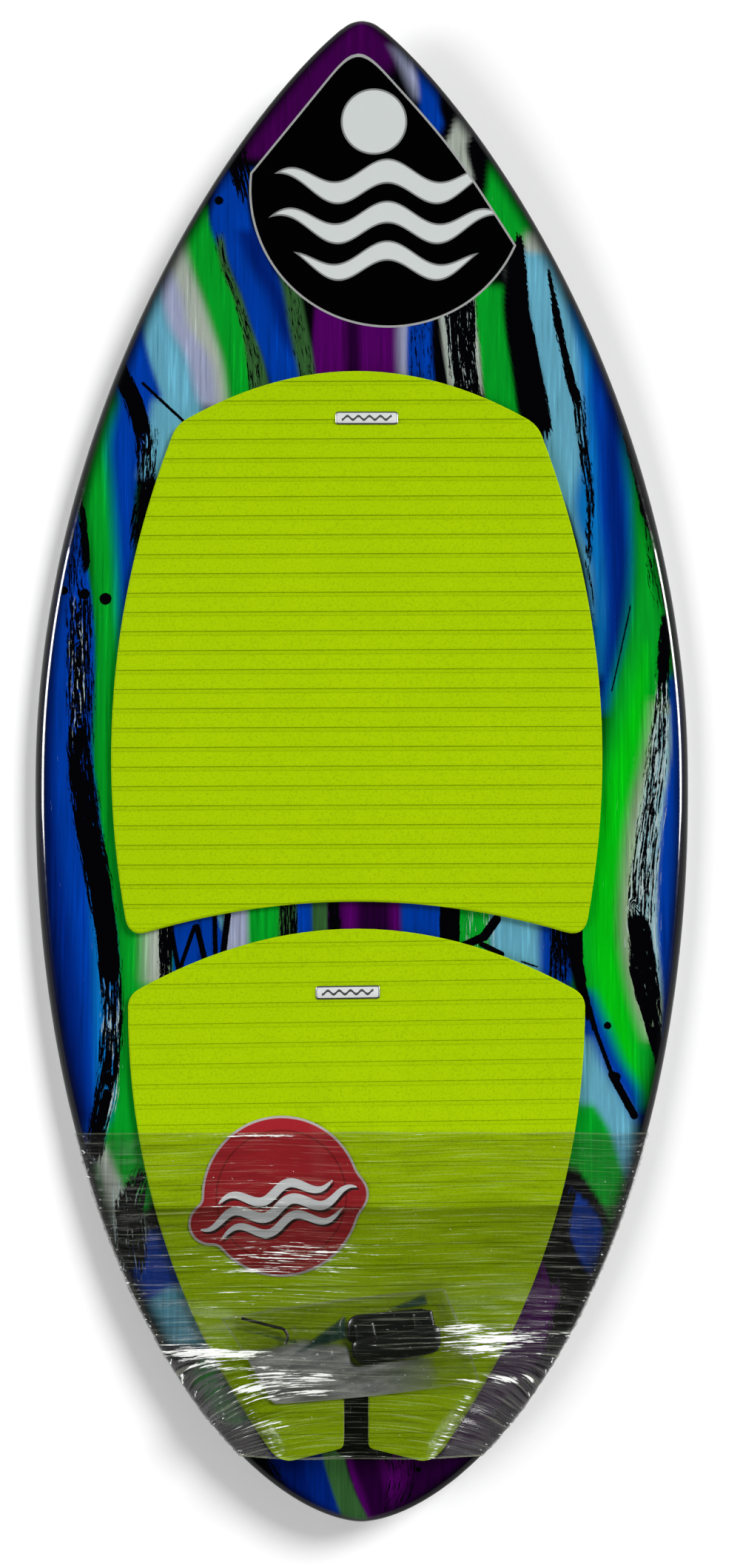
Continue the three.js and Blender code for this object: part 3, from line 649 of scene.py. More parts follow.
BLACK = (2, 2, 4)
GREEN = (4, 140, 32)
LEAF = (2, 172, 12)
PEAR = (158, 184, 146)
BLUE = (0, 51, 146)
DEEP = (0, 28, 104)
NAVY = (0, 18, 82)
SKY = (88, 150, 172)
AZURE = (8, 98, 164)
PURPLE = (70, 2, 84)
PLUM = (54, 1, 64)
DUSK = (30, 0, 40)
LILAC = (138, 144, 170)
CHALK = (150, 158, 148)
MIST = (118, 156, 164)
OLIVE = (44, 82, 42)

# Each band is (colour, softness left, softness right, rows), and each row is a height along the
# board with the band's left and right edge there. Later bands cover earlier ones.
BANDS = [
    # nose
    (PLUM, 16, 30, [(612, -30, 30), (580, -60, 36), (550, -92, 10), (520, -108, 10), (490, -118, -30)]),
    (LILAC, 15, 12, [(584, 24, 38), (568, 32, 48), (550, 40, 54), (538, 46, 54)]),
    (BLUE, 6, 8, [(575, 42, 70), (555, 46, 78), (530, 48, 70), (510, 50, 64)]),
    (BLACK, 6, 4, [(558, 66, 120), (530, 64, 124), (505, 76, 130), (480, 86, 140), (455, 80, 140)]),
    (CHALK, 5, 5, [(524, 78, 84), (512, 74, 90), (500, 70, 86), (488, 78, 88), (474, 86, 92)]),
    (GREEN, 7, 12, [(490, 106, 118), (470, 104, 136), (450, 102, 142), (430, 112, 146), (412, 118, 150)]),
    (CHALK, 14, 14, [(430, 138, 168), (412, 128, 172), (396, 122, 176), (382, 124, 180)]),
    # left of the nose graphic, down to the front pad
    (BLUE, 8, 5, [(480, -118, -88), (455, -124, -94), (430, -124, -90), (400, -109, -76), (375, -99, -60),
     (350, -92, -56), (325, -82, -48), (300, -74, -40), (284, -70, -30)]),
    (DEEP, 14, 16, [(430, -104, -84), (400, -92, -74), (375, -78, -62), (350, -70, -55), (325, -58, -46)]),
    (OLIVE, 6, 4, [(410, -72, -58), (375, -64, -50), (350, -60, -45), (325, -55, -40), (300, -50, -35)]),
    (CHALK, 12, 10, [(440, -150, -130), (420, -168, -138), (400, -172, -138), (375, -160, -130),
     (350, -150, -121), (325, -134, -113), (300, -128, -108), (284, -124, -106)]),
    (GREEN, 13, 5, [(452, -140, -128), (440, -146, -127), (420, -147, -121), (400, -141, -114),
     (375, -132, -104), (350, -124, -97), (325, -116, -90), (300, -112, -86), (284, -110, -84)]),
    (OLIVE, 4, 4, [(425, -120, -114), (400, -116, -109), (375, -106, -99), (350, -99, -91), (325, -95, -82),
     (300, -92, -76), (284, -90, -72)]),
    (LILAC, 8, 12, [(400, -172, -158), (375, -168, -148), (350, -162, -142), (325, -148, -126),
     (300, -142, -120), (284, -138, -118)]),
    (SKY, 7, 12, [(392, -180, -168), (370, -184, -164), (350, -186, -158), (325, -178, -145),
     (300, -170, -138), (275, -164, -130), (262, -160, -128)]),
    (BLUE, 9, 6, [(375, -200, -180), (350, -204, -180), (325, -206, -175), (300, -204, -167),
     (275, -196, -158), (250, -190, -150), (225, -186, -150)]),
    # left of the front pad
    (GREEN, 20, 20, [(300, -216, -206), (275, -218, -198), (250, -222, -192), (225, -226, -190),
     (200, -227, -190), (150, -222, -192), (100, -218, -190), (0, -218, -190), (-50, -214, -186),
     (-100, -205, -180), (-150, -197, -160), (-175, -196, -150), (-200, -194, -160), (-300, -198, -160)]),
    (BLUE, 16, 4, [(300, -192, -170), (275, -204, -176), (250, -208, -180), (225, -206, -184),
     (200, -204, -186), (150, -200, -186), (100, -197, -186), (60, -192, -186)]),
    (SKY, 9, 6, [(290, -172, -150), (262, -176, -150), (240, -180, -156), (225, -184, -166)]),
    (BLUE, 10, 3, [(235, -252, -236), (200, -256, -233), (150, -258, -224), (100, -262, -218),
     (50, -264, -217), (0, -266, -218), (-50, -264, -212), (-100, -260, -205), (-150, -254, -197),
     (-200, -246, -194), (-250, -238, -195), (-300, -226, -200), (-330, -222, -206)]),
    (DEEP, 4, 16, [(235, -262, -242), (200, -264, -246), (150, -266, -250), (50, -268, -250),
     (-50, -268, -246), (-100, -264, -240), (-150, -258, -232), (-200, -250, -226), (-250, -242, -220),
     (-300, -232, -212)]),
    (AZURE, 10, 4, [(-60, -228, -214), (-100, -220, -206), (-150, -216, -200), (-200, -214, -198),
     (-250, -212, -196), (-300, -210, -196)]),
    # lower left
    (GREEN, 12, 8, [(-285, -196, -150), (-310, -204, -150), (-350, -212, -160), (-370, -206, -170)]),
    (CHALK, 12, 10, [(-318, -214, -202), (-350, -206, -188), (-370, -204, -176), (-395, -196, -166),
     (-415, -190, -168)]),
    (BLUE, 9, 6, [(-385, -176, -140), (-410, -188, -138), (-440, -180, -130), (-455, -168, -122)]),
    (SKY, 10, 8, [(-428, -152, -120), (-445, -172, -112), (-465, -166, -104), (-480, -158, -104)]),
    (BLACK, 9, 9, [(-472, -166, -126), (-492, -156, -116), (-512, -142, -112)]),
    (GREEN, 10, 8, [(-482, -124, -90), (-505, -134, -78), (-530, -116, -66), (-545, -102, -60)]),
    (BLACK, 6, 5, [(-532, -118, -78), (-552, -104, -72), (-572, -90, -68), (-590, -70, -56)]),
    # tail
    (NAVY, 5, 6, [(-536, -76, -26), (-556, -72, -28), (-580, -64, -22), (-600, -54, -12)]),
    (DEEP, 7, 4, [(-545, -46, -28), (-570, -42, -22), (-600, -36, -10)]),
    (OLIVE, 3, 3, [(-530, -34, -12), (-556, -30, -13), (-580, -23, -6), (-604, -14, 6)]),
    (PURPLE, 3, 14, [(-530, -12, 96), (-556, -12, 84), (-580, -5, 60), (-604, 6, 30)]),
    (DUSK, 8, 12, [(-530, -6, 16), (-556, -8, 14), (-580, 0, 20), (-604, 8, 28)]),
    (DUSK, 18, 9, [(-530, 70, 100), (-556, 44, 90), (-580, 30, 66), (-604, 18, 34)]),
    (BLACK, 3, 4, [(-470, -16, 12), (-535, -16, 12), (-550, -22, 28), (-558, -12, 22)]),
    # between the nose graphic and the front pad
    (PURPLE, 5, 5, [(372, -38, 40), (340, -40, 36), (300, -38, 36)]),
    (DUSK, 9, 9, [(372, -13, -2), (300, -14, -1)]),
    (LILAC, 12, 7, [(372, 31, 41), (340, 30, 39), (300, 31, 39)]),
    (BLUE, 4, 5, [(372, 38, 62), (340, 37, 60), (300, 37, 62)]),
    (BLACK, 3, 2, [(372, 58, 72), (340, 57, 66), (300, 60, 70)]),
    (CHALK, 3, 4, [(372, 62, 98), (340, 66, 97), (310, 70, 98), (284, 74, 100)]),
    (GREEN, 3, 4, [(384, 94, 118), (360, 93, 119), (330, 97, 122), (300, 100, 126), (275, 104, 130)]),
    # right of the front pad
    (BLACK, 4, 4, [(420, 119, 134), (395, 118, 136), (370, 116, 139), (345, 118, 143), (320, 122, 148),
     (300, 125, 153), (280, 128, 156), (262, 138, 157), (246, 146, 158)]),
    (SKY, 4, 12, [(412, 132, 160), (380, 136, 168), (350, 140, 176), (320, 146, 184), (300, 150, 186),
     (275, 150, 186), (250, 150, 188), (225, 156, 190), (200, 168, 192), (175, 176, 194), (150, 182, 196),
     (125, 186, 196), (104, 188, 194)]),
    (AZURE, 12, 14, [(370, 170, 198), (340, 176, 206), (300, 180, 198), (250, 182, 198), (200, 174, 200),
     (150, 186, 202), (100, 188, 200), (60, 190, 200)]),
    (BLUE, 10, 10, [(350, 190, 212), (300, 188, 218), (250, 192, 222), (200, 194, 222), (150, 198, 222),
     (100, 200, 218), (60, 196, 208), (30, 190, 202)]),
    (DEEP, 12, 12, [(320, 205, 207), (260, 200, 212), (200, 200, 214), (150, 204, 218), (100, 204, 216),
     (60, 200, 206)]),
    (GREEN, 20, 14, [(300, 218, 226), (250, 218, 232), (200, 222, 238), (150, 222, 244), (110, 218, 250),
     (80, 212, 252), (50, 204, 250), (20, 198, 238), (0, 195, 230), (-50, 180, 217), (-100, 175, 210),
     (-150, 170, 207), (-200, 172, 216), (-250, 194, 236), (-275, 206, 234), (-290, 212, 226)]),
    (LEAF, 20, 16, [(90, 230, 232), (40, 216, 232), (-10, 200, 224), (-50, 190, 214), (-100, 184, 208),
     (-150, 182, 205), (-200, 188, 212), (-240, 202, 218), (-275, 218, 220)]),
    (PEAR, 22, 6, [(40, 238, 254), (0, 232, 250), (-50, 220, 244), (-100, 213, 240), (-150, 211, 238),
     (-200, 218, 242), (-235, 228, 240)]),
    (MIST, 8, 8, [(30, 240, 254), (0, 236, 250), (-50, 226, 246), (-100, 220, 242), (-150, 218, 240),
     (-200, 224, 242)]),
    (BLUE, 5, 8, [(60, 248, 262), (0, 250, 262), (-50, 243, 258), (-100, 238, 254), (-150, 237, 250),
     (-200, 240, 250), (-240, 238, 246)]),
    # lower right
    (BLUE, 9, 16, [(-195, 172, 184), (-225, 172, 196), (-250, 172, 206), (-275, 176, 220), (-300, 196, 222)]),
    (SKY, 6, 16, [(-232, 166, 182), (-255, 168, 192), (-275, 170, 204), (-300, 178, 216), (-325, 192, 220),
     (-345, 200, 216)]),
    (GREEN, 8, 8, [(-285, 160, 184), (-305, 160, 196), (-330, 162, 204), (-355, 170, 212), (-385, 186, 206)]),
    (BLACK, 5, 4, [(-335, 150, 170), (-352, 152, 182), (-368, 150, 192), (-384, 142, 198)]),
    (BLUE, 3, 3, [(-346, 153, 158), (-360, 157, 175), (-375, 160, 187), (-390, 165, 190), (-405, 170, 187),
     (-422, 175, 181)]),
    (BLACK, 5, 5, [(-372, 140, 158), (-400, 142, 168), (-430, 148, 184), (-460, 142, 172), (-480, 136, 160)]),
    (PURPLE, 6, 5, [(-392, 130, 146), (-410, 124, 151), (-430, 118, 155), (-455, 110, 150), (-480, 98, 144),
     (-505, 86, 132), (-530, 70, 112), (-548, 60, 96)]),
    # gap between the pads
    (CHALK, 18, 5, [(-118, -174, -154), (-190, -174, -154)]),
    (BLUE, 4, 4, [(-118, -151, -130), (-190, -151, -130)]),
    (SKY, 3, 3, [(-118, -126, -112), (-150, -126, -112), (-158, -124, -114)]),
    (BLUE, 3, 3, [(-118, -130, -122), (-165, -128, -108), (-190, -128, -108)]),
    (LILAC, 2, 7, [(-112, -106, -88), (-160, -110, -88), (-190, -110, -90)]),
    (GREEN, 5, 4, [(-105, -92, -64), (-190, -90, -64)]),
    (OLIVE, 4, 3, [(-105, -66, -50), (-190, -66, -50)]),
    (BLUE, 3, 3, [(-105, -52, -40), (-190, -52, -38)]),
    (OLIVE, 2, 2, [(-105, -41, -28), (-190, -39, -26)]),
    (DUSK, 3, 3, [(-105, -28, -16), (-190, -26, -12)]),
    (PURPLE, 4, 6, [(-105, -17, 30), (-190, -14, 34)]),
    (DUSK, 7, 7, [(-105, -3, 22), (-190, -3, 24)]),
    (BLUE, 5, 5, [(-105, 31, 66), (-190, 33, 68)]),
    (GREEN, 4, 4, [(-105, 78, 104), (-190, 76, 102)]),
    (SKY, 4, 10, [(-118, 104, 150), (-190, 102, 150)]),
    (BLUE, 10, 3, [(-118, 142, 168), (-190, 142, 168)]),
    (BLACK, 4, 3, [(-140, 166, 176), (-175, 166, 177), (-200, 172, 180), (-215, 176, 183)]),
]

# Dry brush strokes: (how much they cover, rows), with rows as for the bands.
INK = [
    (0.62, [(505, -112, -96), (485, -114, -88), (465, -108, -84), (448, -100, -86)]),
    (0.47, [(432, -124, -114), (400, -119, -108), (375, -109, -99), (350, -102, -90), (325, -98, -82),
     (284, -94, -76)]),
    (0.42, [(405, -80, -52), (375, -66, -48), (350, -62, -44), (325, -57, -38), (300, -52, -34)]),
    (0.42, [(375, 34, 66), (340, 34, 68), (300, 36, 72)]),
    (0.70, [(376, 62, 98), (345, 66, 97), (315, 70, 99), (284, 76, 102)]),
    (0.95, [(425, 126, 133), (400, 124, 136), (370, 120, 138), (345, 122, 143), (300, 128, 152),
     (262, 142, 158)]),
    (0.85, [(398, 152, 156), (380, 154, 160), (350, 158, 166), (325, 163, 171), (300, 168, 178),
     (284, 172, 182)]),
    (0.62, [(296, 171, 184), (265, 174, 186), (235, 177, 190), (205, 182, 192), (180, 182, 190),
     (150, 182, 188)]),
    (0.50, [(160, 180, 186), (130, 184, 190), (100, 186, 191)]),
    (0.75, [(290, 206, 220), (262, 212, 232), (240, 218, 236), (200, 226, 240), (180, 232, 244)]),
    (0.45, [(200, 228, 240), (150, 230, 246), (110, 238, 250)]),
    (1.00, [(328, -208, -197), (312, -206, -190), (292, -198, -180), (272, -191, -174), (258, -187, -172)]),
    (0.60, [(268, -190, -164), (240, -187, -166), (215, -188, -168), (195, -190, -172), (165, -192, -182)]),
    (0.95, [(205, -232, -228), (175, -230, -223), (150, -228, -221)]),
    (0.50, [(185, -244, -222), (150, -244, -222), (120, -244, -220), (95, -244, -218)]),
    (0.60, [(130, -242, -219), (90, -243, -216), (50, -243, -215), (0, -240, -214)]),
    (0.76, [(20, -241, -222), (-30, -238, -212), (-60, -234, -208), (-100, -226, -200), (-150, -216, -193),
     (-190, -211, -190)]),
    (1.10, [(-70, -228, -212), (-100, -221, -204), (-150, -212, -196), (-188, -207, -194)]),
    (0.62, [(-180, -212, -188), (-220, -211, -188), (-260, -212, -190), (-300, -218, -198),
     (-325, -222, -204)]),
    (0.74, [(-255, -208, -194), (-290, -216, -198), (-330, -220, -204)]),
    (0.55, [(95, 240, 252), (50, 236, 252), (10, 230, 250), (-50, 222, 244), (-100, 212, 240),
     (-140, 210, 238)]),
    (0.88, [(110, 243, 252), (80, 240, 252), (50, 238, 248)]),
    (0.80, [(-130, 212, 228), (-160, 212, 236), (-200, 218, 240), (-240, 230, 240)]),
    (0.95, [(-170, 212, 218), (-210, 221, 229), (-245, 231, 238)]),
    (0.78, [(-180, 216, 232), (-215, 224, 240), (-250, 232, 240)]),
    (0.95, [(-140, 164, 177), (-170, 165, 178), (-200, 174, 182), (-220, 178, 186)]),
    (0.72, [(-118, -164, -150), (-190, -164, -150)]),
    (0.60, [(-118, -68, -50), (-190, -68, -50)]),
    (0.75, [(-118, -28, -17), (-190, -27, -14)]),
    (0.92, [(-118, 62, 80), (-190, 60, 80)]),
    (0.66, [(-118, 150, 168), (-190, 148, 168)]),
    (0.70, [(-335, -182, -166), (-360, -196, -168), (-390, -198, -166), (-415, -192, -166)]),
    (0.60, [(-440, 148, 176), (-480, 136, 162), (-510, 110, 140), (-540, 80, 118)]),
    (0.80, [(-345, 152, 172), (-372, 142, 168), (-400, 138, 162), (-425, 146, 160)]),
    (0.55, [(-556, -102, -62), (-585, -78, -50)]),
    (0.45, [(-545, 10, 50), (-580, 16, 46), (-600, 14, 30)]),
]

PALE = [
    (0.55, [(372, 62, 98), (340, 66, 97), (284, 74, 100)]),
    (0.50, [(60, 238, 250), (0, 230, 250), (-50, 222, 246), (-100, 212, 242), (-150, 210, 240),
     (-200, 220, 242)]),
    (0.42, [(130, -238, -224), (60, -240, -222), (0, -236, -224)]),
    (0.44, [(-190, -210, -190), (-230, -209, -190), (-280, -210, -192), (-310, -214, -200)]),
    (0.48, [(-350, -200, -170), (-415, -196, -166)]),
    (0.35, [(-118, 80, 112), (-190, 80, 112)]),
]

# Thin black lines: from, to, and half width.
SEGMENTS = [
    ((-180, 303), (-146, 271), 1.3), ((219, 118), (210, 78), 0.7), ((210, 78), (203, 48), 0.7),
    ((178, -196), (186, -226), 2.2), ((186, -226), (199, -262), 1.8), ((199, -262), (216, -294), 3.2),
    ((-152, -150), (-146, -180), 2.0), ((-146, -180), (-134, -144), 1.8), ((-132, -144), (-124, -176), 2.4),
    ((-118, -128), (-117, -166), 2.0), ((-106, -124), (-112, -176), 2.6), ((-176, -342), (-190, -402), 1.6),
    ((80, -160), (98, -152), 3.4), ((98, -152), (108, -138), 3.8), ((96, -158), (112, -166), 2.4),
    ((128, -172), (140, -176), 0.8),
]

# Black drops: place and radius.
DOTS = [(-118, 455, 3.6), (-209, 124, 5.0), (-226, 128, 4.4), (-243, 131, 3.6),
        (196, -223, 3.0), (202, -264, 4.0), (44, -566, 2.2)]
RAIL_SHADE = (1, 1, 3)
BAND_END, STROKE_END = 9, 30


def eased(y, ys, values):
    """Smooth interpolation through values at rising heights."""
    ys, values = np.array(ys, float), np.array(values, float)
    slopes = np.gradient(values, ys)
    i = np.clip(np.searchsorted(ys, y) - 1, 0, len(ys) - 2)
    h = ys[i + 1] - ys[i]
    t = np.clip((y - ys[i]) / h, 0, 1)
    bend = (t**3 - 2 * t**2 + t) * h * slopes[i] + (t**3 - t**2) * h * slopes[i + 1]
    return (2 * t**3 - 3 * t**2 + 1) * values[i] + (3 * t**2 - 2 * t**3) * values[i + 1] + bend


def band_sides(rows, x, y):
    """Distances inwards from the left edge, the right edge and the nearer end; the middle and width."""
    ys, left, right = zip(*sorted(rows))
    left, right = eased(y, ys, left), eased(y, ys, right)
    end = np.minimum(y - ys[0], ys[-1] - y)
    return x - left, right - x, end, (left + right) / 2, right - left


def paint_artwork(piece):
    """Colours at every point of the deck, with the cover and direction of the dry brush strokes."""
    x, y, _ = points_of(piece).T
    colour = np.tile(linear(*BLACK), (len(x), 1)).astype(float)

    def cover_with(tone, share):
        colour[:] += (np.array(linear(*tone)) - colour) * share[:, None]

    for tone, soft_left, soft_right, rows in BANDS:
        left, right, end, _, _ = band_sides(rows, x, y)
        share = smoothstep(left / soft_left + 0.5) * smoothstep(right / soft_right + 0.5)
        cover_with(tone, share * smoothstep(end / BAND_END + 0.5))
    cover_with(RAIL_SHADE, 1 - smoothstep((half_width(y) - np.abs(x) - 3) / 16))
    give_colour(piece, "paint", colour)
    nearest = np.full(len(x), 1e9)
    across = x.copy()
    for name, strokes in (("ink", INK), ("pale", PALE)):
        cover = np.zeros(len(x))
        for amount, rows in strokes:
            left, right, end, middle, width = band_sides(rows, x, y)
            inside = np.minimum(left, right) / np.maximum(width, 1)
            profile = smoothstep(inside / 0.34 + 0.35) * smoothstep(end / STROKE_END + 0.6)
            cover = np.maximum(cover, amount * profile)
            gap = np.abs(x - middle) + np.clip(-end, 0, None)
            across = np.where(gap < nearest, x - middle, across)
            nearest = np.minimum(gap, nearest)
        give_field(piece, name, cover)
    give_field(piece, "across", across)


paint_artwork(deck)


def segment_group():
    """Node group: distance from a point to a straight line between two ends."""
    group = bpy.data.node_groups.new("distance_to_line", "ShaderNodeTree")
    for name in ("Point", "From", "To"):
        group.interface.new_socket(name, in_out="INPUT", socket_type="NodeSocketVector")
    group.interface.new_socket("Distance", in_out="OUTPUT", socket_type="NodeSocketFloat")
    nodes = Nodes(group)
    inlet, outlet = group.nodes.new("NodeGroupInput"), group.nodes.new("NodeGroupOutput")
    point, start, end = (Value(nodes, inlet.outputs[name]) for name in ("Point", "From", "To"))
    to_point = nodes.vector("SUBTRACT", point, start)
    to_end = nodes.vector("SUBTRACT", end, start)
    reached, whole = (nodes.vector("DOT_PRODUCT", to_end, other) for other in (to_point, to_end))
    share = nodes.math("DIVIDE", reached, whole, clamp=True)
    nodes.feed(outlet.inputs[0], nodes.vector("DISTANCE", to_point, nodes.vector("SCALE", to_end, share)))
    return group


SEGMENT = segment_group()
# The panel on the nose: a round edge cut by three straight ones, each as its outward direction and
# distance from the origin, with a disc and waves on it (height, reach, and half thickness).
PANEL_ROUND = (22, 464, 115)
PANEL_LEFT = (-0.7747, 0.6324, 373.6)
PANEL_RIGHT = [(0.7400, 0.6727, 391.8), (0.8441, 0.5362, 331.4)]
PANEL_DISC = (10, 520, 26)
PANEL_WAVES = [(470, 88, 9), (436, 92, 8), (404, 72, 7)]
WAVE_LENGTH, WAVE_RISE, WAVE_MIDDLE = 84, 9, 20


def inside_disc(paint, x, y, radius):
    return radius - paint.distance(x, y)


def nose_panel(paint):
    """How far inside the panel a point is, and how far inside its pale motif."""

    def within(nx, ny, offset):
        return offset - paint.vector("DOT_PRODUCT", paint.flat, (nx, ny, 0))

    right = paint.math("SMOOTH_MIN", *(within(*line) for line in PANEL_RIGHT), 12.0)
    top = paint.math("SMOOTH_MIN", within(*PANEL_LEFT), right, 40.0)
    inside = paint.math("MINIMUM", inside_disc(paint, *PANEL_ROUND), top)
    motif = inside_disc(paint, *PANEL_DISC)
    for height, reach, thick in PANEL_WAVES:
        off = abs(paint.y - (paint.sine(paint.x * (TAU / WAVE_LENGTH)) * WAVE_RISE + height))
        taper = paint.math("POWER", abs(paint.x - WAVE_MIDDLE) / reach, 3)
        motif = paint.most(motif, (1 - taper) * thick - off)
    return inside, motif


def drops_and_lines(paint):
    """How far inside one of the black drops or thin lines a point is."""
    marks = [inside_disc(paint, *dot) for dot in DOTS]
    for start, end, half in SEGMENTS:
        ends = {0: paint.flat, 1: (*start, 0), 2: (*end, 0)}
        marks.append(half - paint.node("Group", ends, node_tree=SEGMENT))
    return paint.most(*marks)


def deck_paint():
    paint = Paint("painted_gloss_deck", Coat_Weight=0.3, Coat_Roughness=0.03, Specular_IOR_Level=0.05)
    place, x, y, across = paint.place, paint.x, paint.y, paint.field("across")
    # bristle marks: noise drawn out along the strokes
    bristle = paint.streaks(across * 0.62, y * 0.030, 0, 4, 0.62)
    broken = paint.streaks(across * 0.9, y * 0.16, 7, 4, 0.7)
    marks = (paint.blend(0.36, bristle, broken) - 0.5) * 2.3 + 0.5
    pale_marks = (paint.streaks(across * 0.75, y * 0.030, 31, 5, 0.68) - 0.5) * 2.4 + 0.5
    # slow streaks and fine overspray in the sprayed colours
    streak = paint.streaks(x * 0.16, y * 0.012, 3)
    brush = paint.streaks(x * 0.42, y * 0.011, 19, 4, 0.6)
    shade = streak * 0.55 + 0.62 + paint.noise(place, 1.1, 2, 0.8) * 0.22
    shade = shade + paint.step(brush, 0.52, 0.74) * 0.55 - paint.step(brush, 0.46, 0.30) * 0.30
    ragged = paint.noise(place, 0.5, 3, 0.7) * 1.6 - 0.8
    ink = paint.step(paint.field("ink") - marks, -0.02, 0.05)
    ink = paint.most(ink, paint.step(drops_and_lines(paint) + ragged, -0.2, 0.3))
    # the panel, with a pale rim and a grey edge round its motif
    inside, motif = nose_panel(paint)
    white = paint.mix(paint.noise(place, 2.5, 2, 0.6), (186, 192, 190), (204, 209, 207))
    black = paint.layers((1, 1, 1), (paint.step(motif, -1.6, -1.1), (120, 122, 122)),
                         (paint.step(motif, -0.1, 0.4), white))
    panel = paint.mix(paint.step(inside, 1.5, 2.0), (150, 152, 150), black)
    tone = paint.layers(
        paint.node("HueSaturation", {"Color": paint.field("paint", "Color"), "Value": shade}),
        (paint.step(paint.field("pale") - pale_marks, -0.03, 0.06), (158, 176, 176)),
        (ink, BLACK), (paint.step(inside, -0.2, 0.2), panel))
    peel = paint.noise(place, 0.09, 3, 0.5)
    smudge = paint.noise(place, 0.03, 4, 0.6)
    paint.finish([deck], "deck_gloss", tone, peel, 0.0012, 0.12, Roughness=smudge * 0.10 + 0.10)


def bottom_paint():
    paint = Paint("black_gloss_bottom", Coat_Weight=0.5, Coat_Roughness=0.06)
    x, y = paint.x, paint.y
    cloth = paint.sine((x + y) * 1.6) * paint.sine((x - y) * 1.6)
    cloud = paint.noise(paint.place, 0.012, 4, 0.6)
    tone = paint.layers((10, 11, 14), (cloud, (24, 27, 34)), (cloth * 0.14 + 0.14, (52, 56, 62)))
    scuff = paint.streaks(x * 0.35, y * 0.02, 0, 5, 0.7)
    paint.finish([bottom], "bottom_gloss", tone, cloth, 0.0002, 0.08, Roughness=scuff * 0.2 + 0.1)


deck_paint()
bottom_paint()

# ------------------------------------------------------------------ traction pads

GROOVE_PITCH = 15.875
GROOVE_HALF, GROOVE_WALL = 1.9, 0.45
EDGE_BEVEL = 1.3
LINE_MARGIN, GROOVE_MARGIN = 6, 8
LINE_STEP = 12
FRONT_CORNERS = [(-148, 267, 9, 44.5), (148, 267, 9, 31), (182, -153, 15, -29), (-182, -153, 15, 31)]
REAR_CORNERS = [(REAR_HALF_FRONT, REAR_FRONT, 9, REAR_BOW), (REAR_HALF_BACK, REAR_BACK, 12, 0),
                (SLOT_HALF, SLOT_FOOT, 4, 0), (SLOT_HALF, SLOT_TOP, 8, 0),
                (-SLOT_HALF, SLOT_TOP, 8, 0), (-SLOT_HALF, SLOT_FOOT, 4, 0),
                (-REAR_HALF_BACK, REAR_BACK, 12, REAR_BOW), (-REAR_HALF_FRONT, REAR_FRONT, 9, 53)]
# Where the foam isn't level, its mesh has extra points.
RAISED = [(x, y) for x in range(-60, 54, 5) for y in range(-568, -225, 8)]
RAISED += [(x, y) for x in range(-140, 134, 6) for y in range(-568, -500, 5)]


def pad_piece(name, node, corners, spare, under, depth, first, tilt):
    """Grooved foam pad. first is a groove's height on the centre line, and tilt its slope."""
    outline = soft_outline(corners)
    outline[:, 0] += PAD_X
    inner = inset_outline(outline, EDGE_BEVEL)
    lines = [closed(inner)]
    low, high = outline[:, 1].min(), outline[:, 1].max()
    for groove in range(-60, 60):
        for offset in (-GROOVE_HALF, -GROOVE_HALF + GROOVE_WALL, GROOVE_HALF - GROOVE_WALL, GROOVE_HALF):
            height = first + GROOVE_PITCH * groove + offset
            if low + LINE_MARGIN < height < high - LINE_MARGIN:
                for left, right in crossings(outline, height, tilt):
                    xs = np.linspace(left, right, max(2, int((right - left) / LINE_STEP)))
                    lines.append(np.column_stack([xs, height + tilt * xs]))

    def top(flat):
        x, y = flat.T
        along = (y - tilt * x - first) / GROOVE_PITCH
        off = np.abs(along - np.round(along)) * GROOVE_PITCH
        centre = np.round(along) * GROOVE_PITCH + first
        kept = (centre > low + GROOVE_MARGIN) & (centre < high - GROOVE_MARGIN)
        groove = depth * np.clip((GROOVE_HALF - off) / GROOVE_WALL, 0, 1)
        rim = EDGE_BEVEL * np.clip(1 - edge_distance(outline, flat) / EDGE_BEVEL, 0, 1)
        return under(x, y) + PAD - np.maximum(np.where(kept, groove, 0), rim)

    spots = np.array(spare, float).reshape(-1, 2)
    spots = spots[inside_outline(inner, spots)].tolist()
    pad = plate(name, outline, lines, lambda flat: under(*flat.T), top, spots, 28)
    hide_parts(node)
    return pad


def foam_paint(name, piece, first, tilt, groove_shade_strength):
    paint = Paint(name, Specular_IOR_Level=0.01)
    place, x, y = paint.place, paint.x, paint.y
    # embossed diamonds, about 1.6 mm between rows
    diamond = paint.sine((x + y * 1.7) * 1.9) * paint.sine((x - y * 1.7) * 1.9)
    pores = paint.noise(place, 2.4, 3, 0.7)
    cloud = paint.noise(place, 0.018, 3, 0.6)
    speckle = paint.step(paint.noise(place, 0.55, 4, 0.75), 0.45, 0.72)
    # painted shade on the walls of the grooves
    turn = paint.math("FRACT", (y - x * tilt - first) / GROOVE_PITCH + 100.5)
    wall = abs(abs(turn - 0.5) * GROOVE_PITCH - (GROOVE_HALF - GROOVE_WALL / 2))
    fade = paint.streaks(x * 0.02, y * 0.05, 0, 2)
    painted_groove_shade = (1 - paint.step(wall, 0.15, 0.65)) * (fade * groove_shade_strength + 0.1)
    tone = paint.layers((158, 191, 0), (cloud, (168, 201, 0)), (pores * 0.5 - 0.1, (140, 174, 0)),
                        (diamond * 0.07 + 0.07, (128, 162, 0)), (speckle, (138, 170, 0)),
                        (painted_groove_shade, (88, 118, 0)))
    relief = diamond * 0.5 + pores * 0.8
    paint.finish([piece], "pad_foam", tone, relief, 0.00012, 0.5, Roughness=pores * 0.15 + 0.7)


